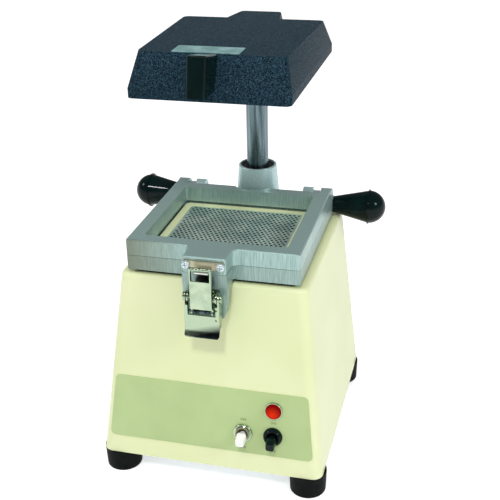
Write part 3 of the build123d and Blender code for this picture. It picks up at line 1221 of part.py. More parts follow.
HUB_BUSH_RADIUS = POST_RADIUS + HUB_BUSH_WALL
REFLECTOR_LOW = HEATER_BOTTOM + REFLECTOR_RISE
REFLECTOR_ROOF = REFLECTOR_LOW + REFLECTOR_DEPTH
BOARD_TOP = REFLECTOR_ROOF + BOARD_THICK
ELEMENT_Z = REFLECTOR_ROOF - ELEMENT_DROP
HANDLE_BOSS_REAR = HEATER_FRONT + HANDLE_BOSS_DEPTH
HANDLE_SCREW_TIP = HEATER_FRONT - HANDLE_SCREW_GRIP


def make_heater_bush():
    bush = rod(0, POST_Y, HEATER_BOTTOM + 1, POST_TOP - 1, HUB_BUSH_RADIUS)
    return bush - rod(0, POST_Y, HEATER_BOTTOM, POST_TOP, POST_RADIUS + SLIDE_CLEAR)


def make_heater_handle():
    """A stubby upright grip on the front of the cover, with soft edges."""
    low = HEATER_BOTTOM + HANDLE_BOTTOM
    high = HEATER_TOP + HANDLE_TOP
    front = HEATER_FRONT - HANDLE_REACH
    points = [(front, low), (front + HANDLE_LEAN, high), (HEATER_TOP_FRONT, HEATER_TOP),
              (HEATER_TOP_FRONT, HEATER_SHOULDER + HANDLE_TAIL)]
    face = make_face(Polyline(*points, close=True))
    grip = Pos(HANDLE_X - HANDLE_HALF, 0, 0) * extrude(Plane.YZ * face, amount=HANDLE_HALF * 2)
    edges = grip.edges().filter_by(
        lambda e: abs(e.center().Y - front - HANDLE_LEAN / 2) < 0.1 and abs(e.center().X - HANDLE_X) > 0.1)
    grip = fillet(edges, HANDLE_ROUND)
    rim = grip.faces().sort_by(Axis.Z)[-1].edges().filter_by(lambda e: e.center().Y < HEATER_TOP_FRONT - 0.1)
    grip = fillet(rim, HANDLE_TOP_ROUND)
    behind = lofted(
        rectangle_points(HEATER_HALF, HEATER_FRONT - SEAT_GAP, HEATER_REAR), 0, HEATER_SHOULDER,
        [(x, y - (SEAT_GAP if y < 0 else 0)) for x, y in heater_top_points(0)], 0, HEATER_TOP,
    )
    grip = grip - behind
    bore = HANDLE_SCREW_RADIUS + PIN_CLEAR
    for z in handle_screw_heights():
        grip = grip - rod_y(HANDLE_X, z, HANDLE_SCREW_TIP - SEAT_GAP, HEATER_TOP_FRONT, bore)
    return grip


def handle_screw_heights():
    """Heights of the two screws that hold the grip from inside the cover."""
    upper = (HEATER_SHOULDER + HEATER_TOP) / 2 - HANDLE_SCREW_DROP
    return [upper - HANDLE_SCREW_SPACING, upper]


def make_handle_screws():
    screws = []
    for z in handle_screw_heights():
        shank = rod_y(HANDLE_X, z, HANDLE_SCREW_TIP, HANDLE_BOSS_REAR, HANDLE_SCREW_RADIUS)
        head_rear = HANDLE_BOSS_REAR + HANDLE_HEAD_HEIGHT
        head = rod_y(HANDLE_X, z, HANDLE_BOSS_REAR, head_rear, HANDLE_SCREW_RADIUS * 1.6)
        screws.append(shank + head)
    return group(screws)


def reflector_screw_places():
    """Four screws that hold the reflector and its board up, inside bends of the element."""
    middle = (REFLECTOR_FRONT + REFLECTOR_REAR) / 2
    return [(sx * ELEMENT_HALF, middle + sy * ELEMENT_PITCH * 2) for sx in (-1, 1) for sy in (-1, 1)]


def reflector_shape(grow):
    """The reflector's pan, or the room inside it when grown by a negative amount."""
    inset = REFLECTOR_INSET
    low = rectangle_points(REFLECTOR_HALF + grow, REFLECTOR_FRONT - grow, REFLECTOR_REAR + grow)
    high = rectangle_points(
        REFLECTOR_HALF - inset + grow, REFLECTOR_FRONT + inset - grow, REFLECTOR_REAR - inset + grow)
    radius = REFLECTOR_CORNER + grow
    return lofted(low, radius, REFLECTOR_LOW, high, radius, REFLECTOR_ROOF + grow)


def element_ends():
    """The two places where the element turns up through the reflector."""
    start = (REFLECTOR_FRONT + REFLECTOR_REAR) / 2 - ELEMENT_PITCH * (ELEMENT_RUNS - 1) / 2
    last = start + ELEMENT_PITCH * (ELEMENT_RUNS - 1)
    end_side = -1 if ELEMENT_RUNS % 2 == 0 else 1
    return [(-ELEMENT_HALF, start), (end_side * ELEMENT_HALF, last)]


def make_reflector():
    pan = reflector_shape(0) - reflector_shape(-REFLECTOR_SHEET)
    for x, y in reflector_screw_places():
        pan = pan - rod(x, y, REFLECTOR_LOW, BOARD_TOP, REFLECTOR_SCREW_RADIUS + SCREW_CLEAR)
    for x, y in element_ends():
        pan = pan - rod(x, y, REFLECTOR_LOW, BOARD_TOP, ELEMENT_RADIUS + ELEMENT_HOLE_CLEAR)
    return pan


def make_insulation_board():
    half = REFLECTOR_HALF - REFLECTOR_INSET
    front = REFLECTOR_FRONT + REFLECTOR_INSET
    rear = REFLECTOR_REAR - REFLECTOR_INSET
    board = slab(half, front, rear, REFLECTOR_ROOF, BOARD_TOP, BOARD_CORNER)
    for x, y in reflector_screw_places():
        board = board - rod(x, y, REFLECTOR_ROOF, BOARD_TOP, REFLECTOR_SCREW_RADIUS + SCREW_CLEAR)
    for x, y in element_ends():
        board = board - rod(x, y, REFLECTOR_ROOF, BOARD_TOP, ELEMENT_RADIUS + ELEMENT_HOLE_CLEAR)
    return board


def make_heating_element():
    """A sheathed element that snakes across the reflector, with upturned tails."""
    start_y = element_ends()[0][1]
    pieces = []
    for run in range(ELEMENT_RUNS):
        y = start_y + run * ELEMENT_PITCH
        pieces.append(rod_x(y, ELEMENT_Z, -ELEMENT_HALF, ELEMENT_HALF, ELEMENT_RADIUS))
    for run in range(ELEMENT_RUNS - 1):
        side = 1 if run % 2 == 0 else -1
        y = start_y + (run + 0.5) * ELEMENT_PITCH
        ring = Torus(ELEMENT_PITCH / 2, ELEMENT_RADIUS)
        reach = ELEMENT_PITCH / 2 + ELEMENT_RADIUS + 1
        x0, x1 = sorted((0, side * reach))
        bend = ring & block(x0, x1, -reach, reach, -reach, reach)
        pieces.append(Pos(side * ELEMENT_HALF, y, ELEMENT_Z) * bend)
    for x, y in element_ends():
        pieces.append(Pos(x, y, ELEMENT_Z) * Sphere(ELEMENT_RADIUS))
        pieces.append(rod(x, y, ELEMENT_Z, ELEMENT_Z + ELEMENT_TAIL, ELEMENT_RADIUS))
    return fused(pieces)


def make_element_supports():
    bars = []
    roof = REFLECTOR_ROOF - REFLECTOR_SHEET
    front = element_ends()[0][1] - ELEMENT_RADIUS
    rear = element_ends()[1][1] + ELEMENT_RADIUS
    low = ELEMENT_Z + ELEMENT_RADIUS + SEAT_GAP
    for x in (-SUPPORT_X, SUPPORT_X):
        bars.append(block(x - SUPPORT_HALF, x + SUPPORT_HALF, front, rear, low, roof))
    return group(bars)


def make_reflector_screws():
    screws = []
    seat = REFLECTOR_ROOF - REFLECTOR_SHEET
    for x, y in reflector_screw_places():
        shank = rod(x, y, seat, HEATER_TOP - 1.6, REFLECTOR_SCREW_RADIUS)
        head = rod(x, y, seat - SCREW_HEAD_HEIGHT, seat, REFLECTOR_SCREW_RADIUS * 2)
        screws.append(shank + head)
    return group(screws)


def make_heater_plate():
    sheet = outline(
        [(PLATE_LEFT, PLATE_FRONT), (PLATE_RIGHT, PLATE_FRONT), (PLATE_RIGHT, PLATE_REAR),
         (PLATE_LEFT, PLATE_REAR)], 1.0, HEATER_TOP)
    return extrude(sheet, amount=LABEL_THICK)


# ------------------------------------------------------------------ all pieces
PIECES = {
    "housing": make_housing,
    "forming_platform": make_platform,
    "vacuum_plate": make_vacuum_plate,
    "platform_seal": make_platform_seal,
    "base_plate": make_base_plate,
    "rubber_feet": make_feet,
    "foot_screws": make_foot_screws,
    "post_tube": make_post,
    "post_flange": make_post_flange,
    "post_flange_screws": make_post_flange_screws,
    "post_cap": make_post_cap,
    "heater_leads": make_heater_leads,
    "control_panel": make_control_panel,
    "lamp_lens": make_lamp_lens,
    "lamp_bezel": make_lamp_bezel,
    "lamp_body": make_lamp_body,
    "toggle_bodies": make_toggle_bodies,
    "toggle_nuts": make_toggle_nuts,
    "vacuum_toggle": lambda: make_toggle(VACUUM_SWITCH_X),
    "heater_toggle": lambda: make_toggle(HEATER_SWITCH_X),
    "cord_bush": make_cord_bush,
    "intake_seal": make_intake_seal,
    "fan_case": make_fan_case,
    "motor_frame": make_motor_frame,
    "motor_stator": make_stator,
    "motor_armature": make_armature,
    "motor_shaft": make_motor_shaft,
    "motor_bearings": make_motor_bearings,
    "suction_impeller": make_impeller,
    "motor_studs": make_motor_studs,
    "lower_frame": make_lower_frame,
    "frame_gasket": make_frame_gasket,
    "post_bush": make_post_bush,
    "detent_ball": make_detent_ball,
    "detent_spring": make_detent_spring,
    "detent_screw": make_detent_screw,
    "upper_frame": make_upper_frame,
    "hinge_pins": make_hinge_pins,
    "hinge_spacers": make_hinge_spacers,
    "knob_studs": make_knob_studs,
    "slide_knobs": make_slide_knobs,
    "keeper_plate": make_keeper_plate,
    "keeper_screws": make_keeper_screws,
    "latch_base": make_latch_base,
    "latch_base_screws": make_latch_base_screws,
    "latch_pin": make_latch_pin,
    "latch_lever": make_latch_lever,
    "claw_pin": make_claw_pin,
    "latch_claw": make_latch_claw,
    "claw_springs": make_claw_springs,
    "heater_cover": make_heater_cover,
    "heater_bush": make_heater_bush,
    "heater_handle": make_heater_handle,
    "handle_screws": make_handle_screws,
    "reflector": make_reflector,
    "insulation_board": make_insulation_board,
    "heating_element": make_heating_element,
    "element_supports": make_element_supports,
    "reflector_screws": make_reflector_screws,
    "heater_plate": make_heater_plate,
}

os.makedirs("parts", exist_ok=True)
for name, make in PIECES.items():
    export_step(make(), f"parts/{name}.step")
print("pieces:", len(PIECES))
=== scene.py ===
# %% [markdown]
# # A dental vacuum former, dressed in Blender
# The machine softens a plastic sheet under a heater, and a fan then sucks the sheet down over a
# model on a perforated platform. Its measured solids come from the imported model. This lesson gives
# them their finishes, adds the details that are too fine for the solids, and lights the scene.
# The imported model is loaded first, because every piece that follows is placed by its measures.

# %% Load the measured model
import math
import bpy
from mathutils import Matrix, Vector


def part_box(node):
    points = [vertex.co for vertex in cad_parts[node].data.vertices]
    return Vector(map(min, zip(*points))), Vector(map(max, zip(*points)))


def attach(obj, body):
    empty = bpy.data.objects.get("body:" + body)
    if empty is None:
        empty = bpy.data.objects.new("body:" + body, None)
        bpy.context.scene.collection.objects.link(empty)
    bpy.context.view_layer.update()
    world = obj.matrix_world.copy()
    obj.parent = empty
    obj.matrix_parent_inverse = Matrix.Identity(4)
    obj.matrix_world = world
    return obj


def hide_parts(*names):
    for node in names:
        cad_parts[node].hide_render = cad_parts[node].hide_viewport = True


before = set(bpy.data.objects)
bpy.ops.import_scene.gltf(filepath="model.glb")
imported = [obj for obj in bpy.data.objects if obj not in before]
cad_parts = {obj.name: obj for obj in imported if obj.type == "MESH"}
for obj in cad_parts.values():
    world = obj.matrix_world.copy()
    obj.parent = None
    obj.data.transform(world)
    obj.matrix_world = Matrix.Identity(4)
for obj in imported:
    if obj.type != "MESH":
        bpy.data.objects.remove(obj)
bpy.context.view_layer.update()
MM = 0.001

# %% [markdown]
# ## The camera
# A camera is placed by where it stands and where it looks. It could be aimed by a constraint that
# tracks a point, but three angles say as much and can be set one by one. Yaw turns it left and
# right, pitch tips it down, and roll levels it. They give three directions at right angles, and
# those are the columns of the camera's matrix. Blender's camera looks along its own minus Z, so the
# forward direction goes in with its sign changed.

# %% Place the camera
CAMERA_PLACE = Vector((201.80, -719.18, 528.17)) * MM
CAMERA_YAW = -0.257
CAMERA_PITCH = -0.441
CAMERA_ROLL = -0.020
CAMERA_LENS = 67.28
CAMERA_SENSOR = 36.0
CAMERA_REACH = 20.0

forward = Vector((
    math.sin(CAMERA_YAW) * math.cos(CAMERA_PITCH),
    math.cos(CAMERA_YAW) * math.cos(CAMERA_PITCH),
    math.sin(CAMERA_PITCH),
))
level_right = forward.cross(Vector((0, 0, 1))).normalized()
level_up = level_right.cross(forward)
right = math.cos(CAMERA_ROLL) * level_right + math.sin(CAMERA_ROLL) * level_up
up = math.cos(CAMERA_ROLL) * level_up - math.sin(CAMERA_ROLL) * level_right
turn = Matrix((right, up, -forward)).transposed().to_4x4()
camera = bpy.data.objects.new("camera", bpy.data.cameras.new("camera"))
camera.matrix_world = Matrix.Translation(CAMERA_PLACE) @ turn
camera.data.sensor_width = CAMERA_SENSOR
camera.data.lens = CAMERA_LENS
camera.data.clip_end = CAMERA_REACH
bpy.context.collection.objects.link(camera)
bpy.context.scene.camera = camera
print("camera stands", round(CAMERA_PLACE.length, 3), "m from the origin")

# %% [markdown]
# ## Colours as they are seen
# Shaders work with light, not with the numbers a screen shows. The light could be typed in, but
# nobody reads colours that way, so a small helper turns the screen's 0 to 255 values into light.
# A screen's values follow a power curve, with a short straight run in the darkest part.

# %% Turn screen colours into light
SCREEN_FULL = 255
STRAIGHT_END = 0.04045
STRAIGHT_SLOPE = 12.92
CURVE_SHIFT = 0.055
CURVE_POWER = 2.4


def light_of(red, green, blue):
    """The linear colour for screen values from 0 to 255."""
    values = []
    for value in (red, green, blue):
        share = value / SCREEN_FULL
        if share <= STRAIGHT_END:
            values.append(share / STRAIGHT_SLOPE)
        else:
            values.append(((share + CURVE_SHIFT) / (1 + CURVE_SHIFT)) ** CURVE_POWER)
    return tuple(values)


print("middle grey is", [round(v, 3) for v in light_of(128, 128, 128)])

# %% [markdown]
# ## One plain finish
# Blender has a shader for each kind of surface, and also the Principled shader, which can be paint,
# rubber or metal by its numbers alone. One helper with that shader serves every finish here. Its
# numbers are set on the shader's own sockets, so that they reach the exported model too.

# %% Helper for a plain finish
COAT_ROUGHNESS = 0.12


def shader_of(material):
    """The Principled shader that a new material starts with."""
    return material.node_tree.nodes["Principled BSDF"]


def finish_of(name, colour, roughness, metallic=0.0, coat=0.0, specular=0.5):
    """A material with one Principled shader and its plain values."""
    material = bpy.data.materials.new(name)
    material.use_nodes = True
    plain_values = {
        "Base Color": (*colour, 1),
        "Roughness": roughness,
        "Metallic": metallic,
        "Coat Weight": coat,
        "Coat Roughness": COAT_ROUGHNESS,
        "Specular IOR Level": specular,
    }
    for socket, value in plain_values.items():
        shader_of(material).inputs[socket].default_value = value
    return material


print("a plain finish has one shader")

# %% [markdown]
# ## Fields
# What makes a finish look real is that it is never quite even. A field is a number at every point
# of a surface, and noise is the commonest one. It could be an image, but noise needs no unwrapped
# surface. It works in the object's own metres, so a grain of 2 mm is 2 mm on every piece.

# %% Helpers for fields
def noise_of(material, size, detail=3, stretch=(1, 1, 1)):
    """A noise field whose features are about size metres across, longer where stretch is large."""
    nodes = material.node_tree.nodes
    links = material.node_tree.links
    place = nodes.new("ShaderNodeTexCoord")
    scale = nodes.new("ShaderNodeMapping")
    scale.inputs["Scale"].default_value = [1 / (size * longer) for longer in stretch]
    noise = nodes.new("ShaderNodeTexNoise")
    noise.inputs["Scale"].default_value = 1.0
    noise.inputs["Detail"].default_value = detail
    links.new(place.outputs["Object"], scale.inputs["Vector"])
    links.new(scale.outputs["Vector"], noise.inputs["Vector"])
    return noise.outputs["Fac"]


def spread(material, field, low, high, out_low, out_high):
    """The part of a field between low and high, spread over out_low to out_high."""
    node = material.node_tree.nodes.new("ShaderNodeMapRange")
    node.inputs["From Min"].default_value = low
    node.inputs["From Max"].default_value = high
    node.inputs["To Min"].default_value = out_low
    node.inputs["To Max"].default_value = out_high
    material.node_tree.links.new(field, node.inputs["Value"])
    return node.outputs["Result"]


print("fields are ready: noise, and a spread of a field")

# %% [markdown]
# ## Tones, gloss and relief
# A field can change a surface in three ways. It can mix two close colours, it can make the gloss
# wander, and it can push the surface in and out as bump. Bump only tilts the light, where true
# relief would need millions of faces, and at these depths of a few hundredths of a millimetre
# nobody can tell. The last helper joins the steps that most finishes share: clouds of tone, and a
# grain. Its patterns are a noise's size, its detail and, where it has a direction, its stretch.

# %% Helpers for tones, gloss and relief
GLOSS_FROM = 0.3
GLOSS_TO = 0.7


def mix_colours(material, factor, first, second):
    """A colour between two, each a socket or a plain colour, as the factor goes from 0 to 1."""
    mix = material.node_tree.nodes.new("ShaderNodeMix")
    mix.data_type = "RGBA"
    material.node_tree.links.new(factor, mix.inputs["Factor"])
    for name, colour in (("A", first), ("B", second)):
        if isinstance(colour, tuple):
            mix.inputs[name].default_value = (*colour, 1)
        else:
            material.node_tree.links.new(colour, mix.inputs[name])
    return mix.outputs["Result"]


def paint_over(material, tone):
    """The surface takes its colour from a tone."""
    material.node_tree.links.new(tone, shader_of(material).inputs["Base Color"])


def mottle(material, field, dark, pale, low=0.35, high=0.65):
    """The base colour goes from dark to pale as a field goes from low to high."""
    paint_over(material, mix_colours(material, spread(material, field, low, high, 0, 1), dark, pale))


def uneven_gloss(material, field, smooth, rough):
    """The roughness wanders between two values along a field."""
    wander = spread(material, field, GLOSS_FROM, GLOSS_TO, smooth, rough)
    material.node_tree.links.new(wander, shader_of(material).inputs["Roughness"])


def bump(material, field, depth, strength):
    """The surface rises and falls by depth metres along a field."""
    node = material.node_tree.nodes.new("ShaderNodeBump")
    node.inputs["Strength"].default_value = strength
    node.inputs["Distance"].default_value = depth
    material.node_tree.links.new(field, node.inputs["Height"])
    material.node_tree.links.new(node.outputs["Normal"], shader_of(material).inputs["Normal"])


def grained_finish(name, colour, dark, pale, cloud, grain=None, depth=0.0, strength=0.0, **look):
    """A finish whose tone drifts in clouds and whose surface has a grain, in screen colours."""
    material = finish_of(name, light_of(*colour), **look)
    mottle(material, noise_of(material, *cloud), light_of(*dark), light_of(*pale))
    if grain:
        bump(material, noise_of(material, *grain), depth, strength)
    return material


print("finish helpers are ready")

# %% [markdown]
# ## Cream enamel
# The housing and the platform wear a smooth stoving enamel. Sprayed enamel has a faint orange peel:
# shallow waves a couple of millimetres across. A clear coat over a slightly rough colour gives the
# soft sheen, which one glossy layer would make too hard, and a very slow drift in the colour keeps
# the large faces from looking flat.

# %% Make the cream enamel
cream_enamel = grained_finish(
    "cream_enamel", colour=(226, 233, 184), dark=(223, 231, 180), pale=(229, 235, 188),
    cloud=(90 * MM, 2), grain=(2.2 * MM, 2), depth=0.03 * MM, strength=0.5, roughness=0.42, coat=0.2)
print("cream enamel made")

# %% [markdown]
# ## The control panel's film
# The panel is a printed plastic film in soft green. Film like this has a fine sandy emboss that
# dulls reflections, so the grain is under a millimetre and the roughness is high.

# %% Make the panel film
panel_film = grained_finish(
    "panel_film", colour=(180, 201, 142), dark=(177, 198, 139), pale=(183, 204, 145),
    cloud=(30 * MM, 3), grain=(0.6 * MM, 2), depth=0.02 * MM, strength=0.4, roughness=0.5,
    specular=0.35)
print("panel film made")

# %% [markdown]
# ## Milled and cast aluminium
# Both halves of the sheet frame are aluminium castings with milled faces. Milling leaves fine
# upright lines on the edges and a grey satin on top. The lines are a noise field stretched long in
# Z, which shows as fine specks on a level face. A second, cloudy field varies the gloss a little, as
# handling does. The castings that hold the motor and the post were never milled, so they get a
# sandy grain and no lines.

# %% Make the milled and the cast aluminium
MILL_LINES = (0.7 * MM, 3, (1, 1, 16))
MILL_TONES_FROM = 0.25
MILL_TONES_TO = 0.75
MILL_DEPTH = 0.08 * MM
MILL_STRENGTH = 0.5

milled_aluminium = finish_of(
    "milled_aluminium", light_of(150, 175, 169), roughness=0.32, metallic=0.45)
mill_lines = noise_of(milled_aluminium, *MILL_LINES)
mottle(
    milled_aluminium, mill_lines, light_of(130, 159, 155), light_of(176, 203, 198),
    MILL_TONES_FROM, MILL_TONES_TO)
uneven_gloss(milled_aluminium, noise_of(milled_aluminium, 30 * MM), smooth=0.3, rough=0.42)
bump(milled_aluminium, mill_lines, MILL_DEPTH, MILL_STRENGTH)

cast_aluminium = grained_finish(
    "cast_aluminium", colour=(146, 168, 163), dark=(136, 160, 155), pale=(160, 182, 177),
    cloud=(7 * MM, 3), grain=(0.9 * MM, 4), depth=0.1 * MM, strength=0.5, roughness=0.46,
    metallic=0.4)
print("milled and cast aluminium made")

# %% [markdown]
# ## The lower half and its collar
# The lower half of the frame also has a collar round the post, which was left as cast and is paler.
# Two materials could share the piece face by face, but the edge between them would follow the
# mesh. So one material holds both, and goes over from milled lines to a cast grain at the height
# where the collar starts.

# %% Blend lines into grain by height
CAST_GRAIN = (1.1 * MM, 4)
COLLAR_FADE = 2 * MM


def place_of(material):
    """The sockets of a material's object coordinates, as a vector and one by one."""
    nodes = material.node_tree.nodes
    place = nodes.new("ShaderNodeTexCoord")
    parts = nodes.new("ShaderNodeSeparateXYZ")
    material.node_tree.links.new(place.outputs["Object"], parts.inputs["Vector"])
    return place.outputs["Object"], parts.outputs


def blend_of(material, factor, first, second):
    """A field that goes from the first to the second as the factor goes from 0 to 1."""
    mix = material.node_tree.nodes.new("ShaderNodeMix")
    for name, field in (("Factor", factor), ("A", first), ("B", second)):
        material.node_tree.links.new(field, mix.inputs[name])
    return mix.outputs["Result"]


collar_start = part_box("upper_frame")[0][2]
frame_casting = finish_of("frame_casting", light_of(146, 170, 164), roughness=0.36, metallic=0.4)
up_the_casting = place_of(frame_casting)[1]["Z"]
above = spread(frame_casting, up_the_casting, collar_start, collar_start + COLLAR_FADE, 0, 1)
relief = blend_of(
    frame_casting, above, noise_of(frame_casting, *MILL_LINES), noise_of(frame_casting, *CAST_GRAIN))
ridge_share = spread(frame_casting, relief, MILL_TONES_FROM, MILL_TONES_TO, 0, 1)
milled_tone = mix_colours(
    frame_casting, ridge_share, light_of(122, 147, 141), light_of(162, 187, 181))
cast_tone = mix_colours(
    frame_casting, ridge_share, light_of(174, 206, 206), light_of(208, 234, 234))
paint_over(frame_casting, mix_colours(frame_casting, above, milled_tone, cast_tone))
bump(frame_casting, relief, MILL_DEPTH, MILL_STRENGTH)
print("the collar is cast from", round(collar_start / MM, 1), "mm up")

# %% [markdown]
# ## Painted shade behind the latch and on the front
# The tongue behind the latch lies in deep shade inside the claw, so a dark spot of painted shade is
# laid on it. It is round, so it is painted by the distance from one spot. The front faces of both
# halves get a darker, warmer painted shade, mostly on the left. That shade could be one more noise,
# but it has a place, so it is painted where two measures meet: how near a point is to the front, and
# how far to the left.

# %% Paint shade behind the latch and on the front
SHADE_SPOT_DROP = 7.0 * MM
SHADE_SPOT_RADIUS = 6.5 * MM
SHADE_SPOT_FADE = 1.3
FRAME_FRONT = -74.6 * MM
FRONT_SHADE_DEPTH = (1.0 * MM, 2.0 * MM)
FRONT_SHADE_LEFT = -75 * MM
FRONT_SHADE_RIGHT = -17 * MM
FRONT_SHADE_MOST = 0.85


def tone_of(material):
    """The tone that colours a material now."""
    return shader_of(material).inputs["Base Color"].links[0].from_socket


def reading_of(material, operation, value):
    """A number at each point: its DISTANCE from a spot, or its DOT_PRODUCT with a direction."""
    node = material.node_tree.nodes.new("ShaderNodeVectorMath")
    node.operation = operation
    node.inputs[1].default_value = value
    material.node_tree.links.new(place_of(material)[0], node.inputs[0])
    return node.outputs["Value"]


def product_of(material, first, second):
    """The product of two fields."""
    node = material.node_tree.nodes.new("ShaderNodeMath")
    node.operation = "MULTIPLY"
    material.node_tree.links.new(first, node.inputs[0])
    material.node_tree.links.new(second, node.inputs[1])
    return node.outputs["Value"]


tongue_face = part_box("keeper_plate")[1][1]
# A round spot of painted shade on the tongue, deep inside the claw.
from_shade_spot = reading_of(frame_casting, "DISTANCE", (0.0, tongue_face, collar_start - SHADE_SPOT_DROP))
unshaded = spread(frame_casting, from_shade_spot, SHADE_SPOT_RADIUS, SHADE_SPOT_RADIUS * SHADE_SPOT_FADE, 0, 1)
paint_over(
    frame_casting, mix_colours(frame_casting, unshaded, light_of(10, 14, 15), tone_of(frame_casting)))
# Painted shade: the front faces of both halves turn darker and warmer, most on the left.
for casting in (milled_aluminium, frame_casting):
    across = place_of(casting)[1]
    near_edge, past_edge = (FRAME_FRONT + depth for depth in FRONT_SHADE_DEPTH)
    at_front = spread(casting, across["Y"], near_edge, past_edge, 1, 0)
    to_left = spread(casting, across["X"], FRONT_SHADE_LEFT, FRONT_SHADE_RIGHT, FRONT_SHADE_MOST, 0)
    front_shade = product_of(casting, at_front, to_left)
    paint_over(casting, mix_colours(casting, front_shade, tone_of(casting), light_of(104, 108, 86)))
# The height of the spot of painted shade behind the latch.
print("the latch rubs", round((collar_start - SHADE_SPOT_DROP) / MM, 1), "mm up")

# %% [markdown]
# ## Bright plate on the latch
# The latch is bright nickel plate over pressed sheet. A metal's colour tints what it reflects, so
# plate is a metal with low roughness, and a little wander in its gloss gives the slight waves of
# pressed sheet without any relief in the mesh.

# %% Make the bright plate
PLATE_GRAIN = (2 * MM, 2)
PLATE_DEPTH = 0.02 * MM
PLATE_STRENGTH = 0.3
PLATE_WANDER = 3 * MM

nickel_plate = grained_finish(
    "nickel_plate", colour=(166, 184, 158), dark=(156, 175, 150), pale=(176, 192, 166),
    cloud=(8 * MM, 3), grain=PLATE_GRAIN, depth=PLATE_DEPTH, strength=PLATE_STRENGTH,
    roughness=0.18, metallic=1.0)
uneven_gloss(nickel_plate, noise_of(nickel_plate, PLATE_WANDER), smooth=0.1, rough=0.24)
print("bright plate made")

# %% [markdown]
# ## The lever's dark lip
# The lever's curled lip faces up and mirrors the dark room above, so a painted dark reflection lies on
# it. Its edge isn't level: it reaches higher to the right. A product with a tilted direction measures
# a tilted height, which is simpler than turning the coordinates.

# %% Make the lever's plate
LIP_REFLECTION_TILT = (-0.28, 0.0, 1.0)
LIP_REFLECTION_FROM = 1.5 * MM
LIP_REFLECTION_TO = 8.5 * MM

lever_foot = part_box("latch_lever")[0][2]
lever_plate = finish_of("lever_plate", light_of(166, 184, 158), roughness=0.2, metallic=1.0)
# A painted dark reflection on the lip, from its foot up.
mottle(
    lever_plate, reading_of(lever_plate, "DOT_PRODUCT", LIP_REFLECTION_TILT),
    light_of(34, 42, 42), light_of(166, 184, 158), lever_foot + LIP_REFLECTION_FROM, lever_foot + LIP_REFLECTION_TO)
uneven_gloss(lever_plate, noise_of(lever_plate, PLATE_WANDER), smooth=0.12, rough=0.26)
bump(lever_plate, noise_of(lever_plate, *PLATE_GRAIN), PLATE_DEPTH, PLATE_STRENGTH)
# The height of the lever's foot, where the painted dark reflection starts.
print("the lever is worn from", round(lever_foot / MM, 1), "mm up")

# %% [markdown]
# ## The keeper's tan plate
# The keeper is a duller, tan plate, and its rolled lip gets a near white painted highlight. The lip
# stands in front of the flat sheet, so the distance to the front alone tells the two apart.

# %% Make the keeper's plate
KEEPER_SHEET = 1.6 * MM
LIP_HIGHLIGHT_FULL = 0.9 * MM
LIP_HIGHLIGHT_GONE = 0.3 * MM

lip_start = tongue_face - KEEPER_SHEET
tan_plate = finish_of("tan_plate", light_of(176, 172, 146), roughness=0.32, metallic=0.9)
# A painted highlight on the rolled lip, which stands in front of the sheet.
mottle(
    tan_plate, place_of(tan_plate)[1]["Y"], light_of(232, 234, 228), light_of(176, 172, 146),
    lip_start - LIP_HIGHLIGHT_FULL, lip_start - LIP_HIGHLIGHT_GONE)
bump(tan_plate, noise_of(tan_plate, 0.6 * MM, 2), PLATE_DEPTH, PLATE_STRENGTH)
print("the keeper's lip starts at", round(lip_start / MM, 1), "mm")

# %% [markdown]
# ## The post and the fasteners
# The post is drawn steel tube with fine lines along its length, from the die that it was pulled
# through, so both its tones and its gloss are noise stretched in Z. Screws and sheet metal have the
# pale, slightly clouded look of zinc plate.

# %% Make the drawn steel and the zinc plate
drawn_steel = grained_finish(
    "drawn_steel", colour=(88, 106, 111), dark=(60, 78, 84), pale=(122, 140, 145),
    cloud=(3.5 * MM, 3, (1, 1, 22)), grain=(0.4 * MM, 2, (1, 1, 30)), depth=0.02 * MM,
    strength=0.3, roughness=0.22, metallic=1.0)
uneven_gloss(drawn_steel, noise_of(drawn_steel, 3 * MM, 3, (1, 1, 10)), smooth=0.2, rough=0.34)

zinc_plate = grained_finish(
    "zinc_plate", colour=(204, 218, 222), dark=(190, 206, 212), pale=(218, 230, 232),
    cloud=(4 * MM, 3), grain=(0.8 * MM, 2), depth=0.02 * MM, strength=0.3, roughness=0.34,
    metallic=0.6)
print("drawn steel and zinc plate made")

# %% [markdown]
# ## Metals inside
# The element's sheath has gone brown and matt with heat. The motor's cores are stacks of thin steel
# sheets. Modelling each sheet would take hundreds of faces for a part that few see, so their edges
# are a bump that is stretched sideways. Bearings and bushes are sintered bronze.

# %% Make the metals inside
dark_sheath = grained_finish(
    "dark_sheath", colour=(96, 84, 76), dark=(74, 66, 62), pale=(118, 102, 90),
    cloud=(6 * MM, 3), grain=(0.8 * MM, 2), depth=0.03 * MM, strength=0.4, roughness=0.55,
    metallic=0.8)
lamination = grained_finish(
    "lamination", colour=(110, 108, 104), dark=(96, 94, 92), pale=(126, 122, 116),
    cloud=(10 * MM, 3), grain=(0.5 * MM, 1, (40, 40, 1)), depth=0.08 * MM, strength=0.8,
    roughness=0.5, metallic=0.9)
bronze = grained_finish(
    "bronze", colour=(176, 140, 84), dark=(160, 124, 70), pale=(192, 156, 100),
    cloud=(5 * MM, 3), grain=(0.6 * MM, 2), depth=0.02 * MM, strength=0.3, roughness=0.32,
    metallic=1.0)
print("sheath, core and bronze made")

# %% [markdown]
# ## Wrinkle paint
# The heater's cover is a casting in black wrinkle paint, which hides a rough surface and stands the
# heat. Wrinkle paint is a net of tiny ridges, about a millimetre apart, that glint one by one. A
# distorted noise field makes the ridges, and the same field paints a pale sheen on their tops, where a
# plain noise would look like sand. A finer noise paints bright glints on a few of them. The refraction
# index is low, because real wrinkles shade each other and so mirror little at a low angle.

# %% Make the wrinkle paint
RIDGE_TWIST = 1.2
PAINT_IOR = 1.045

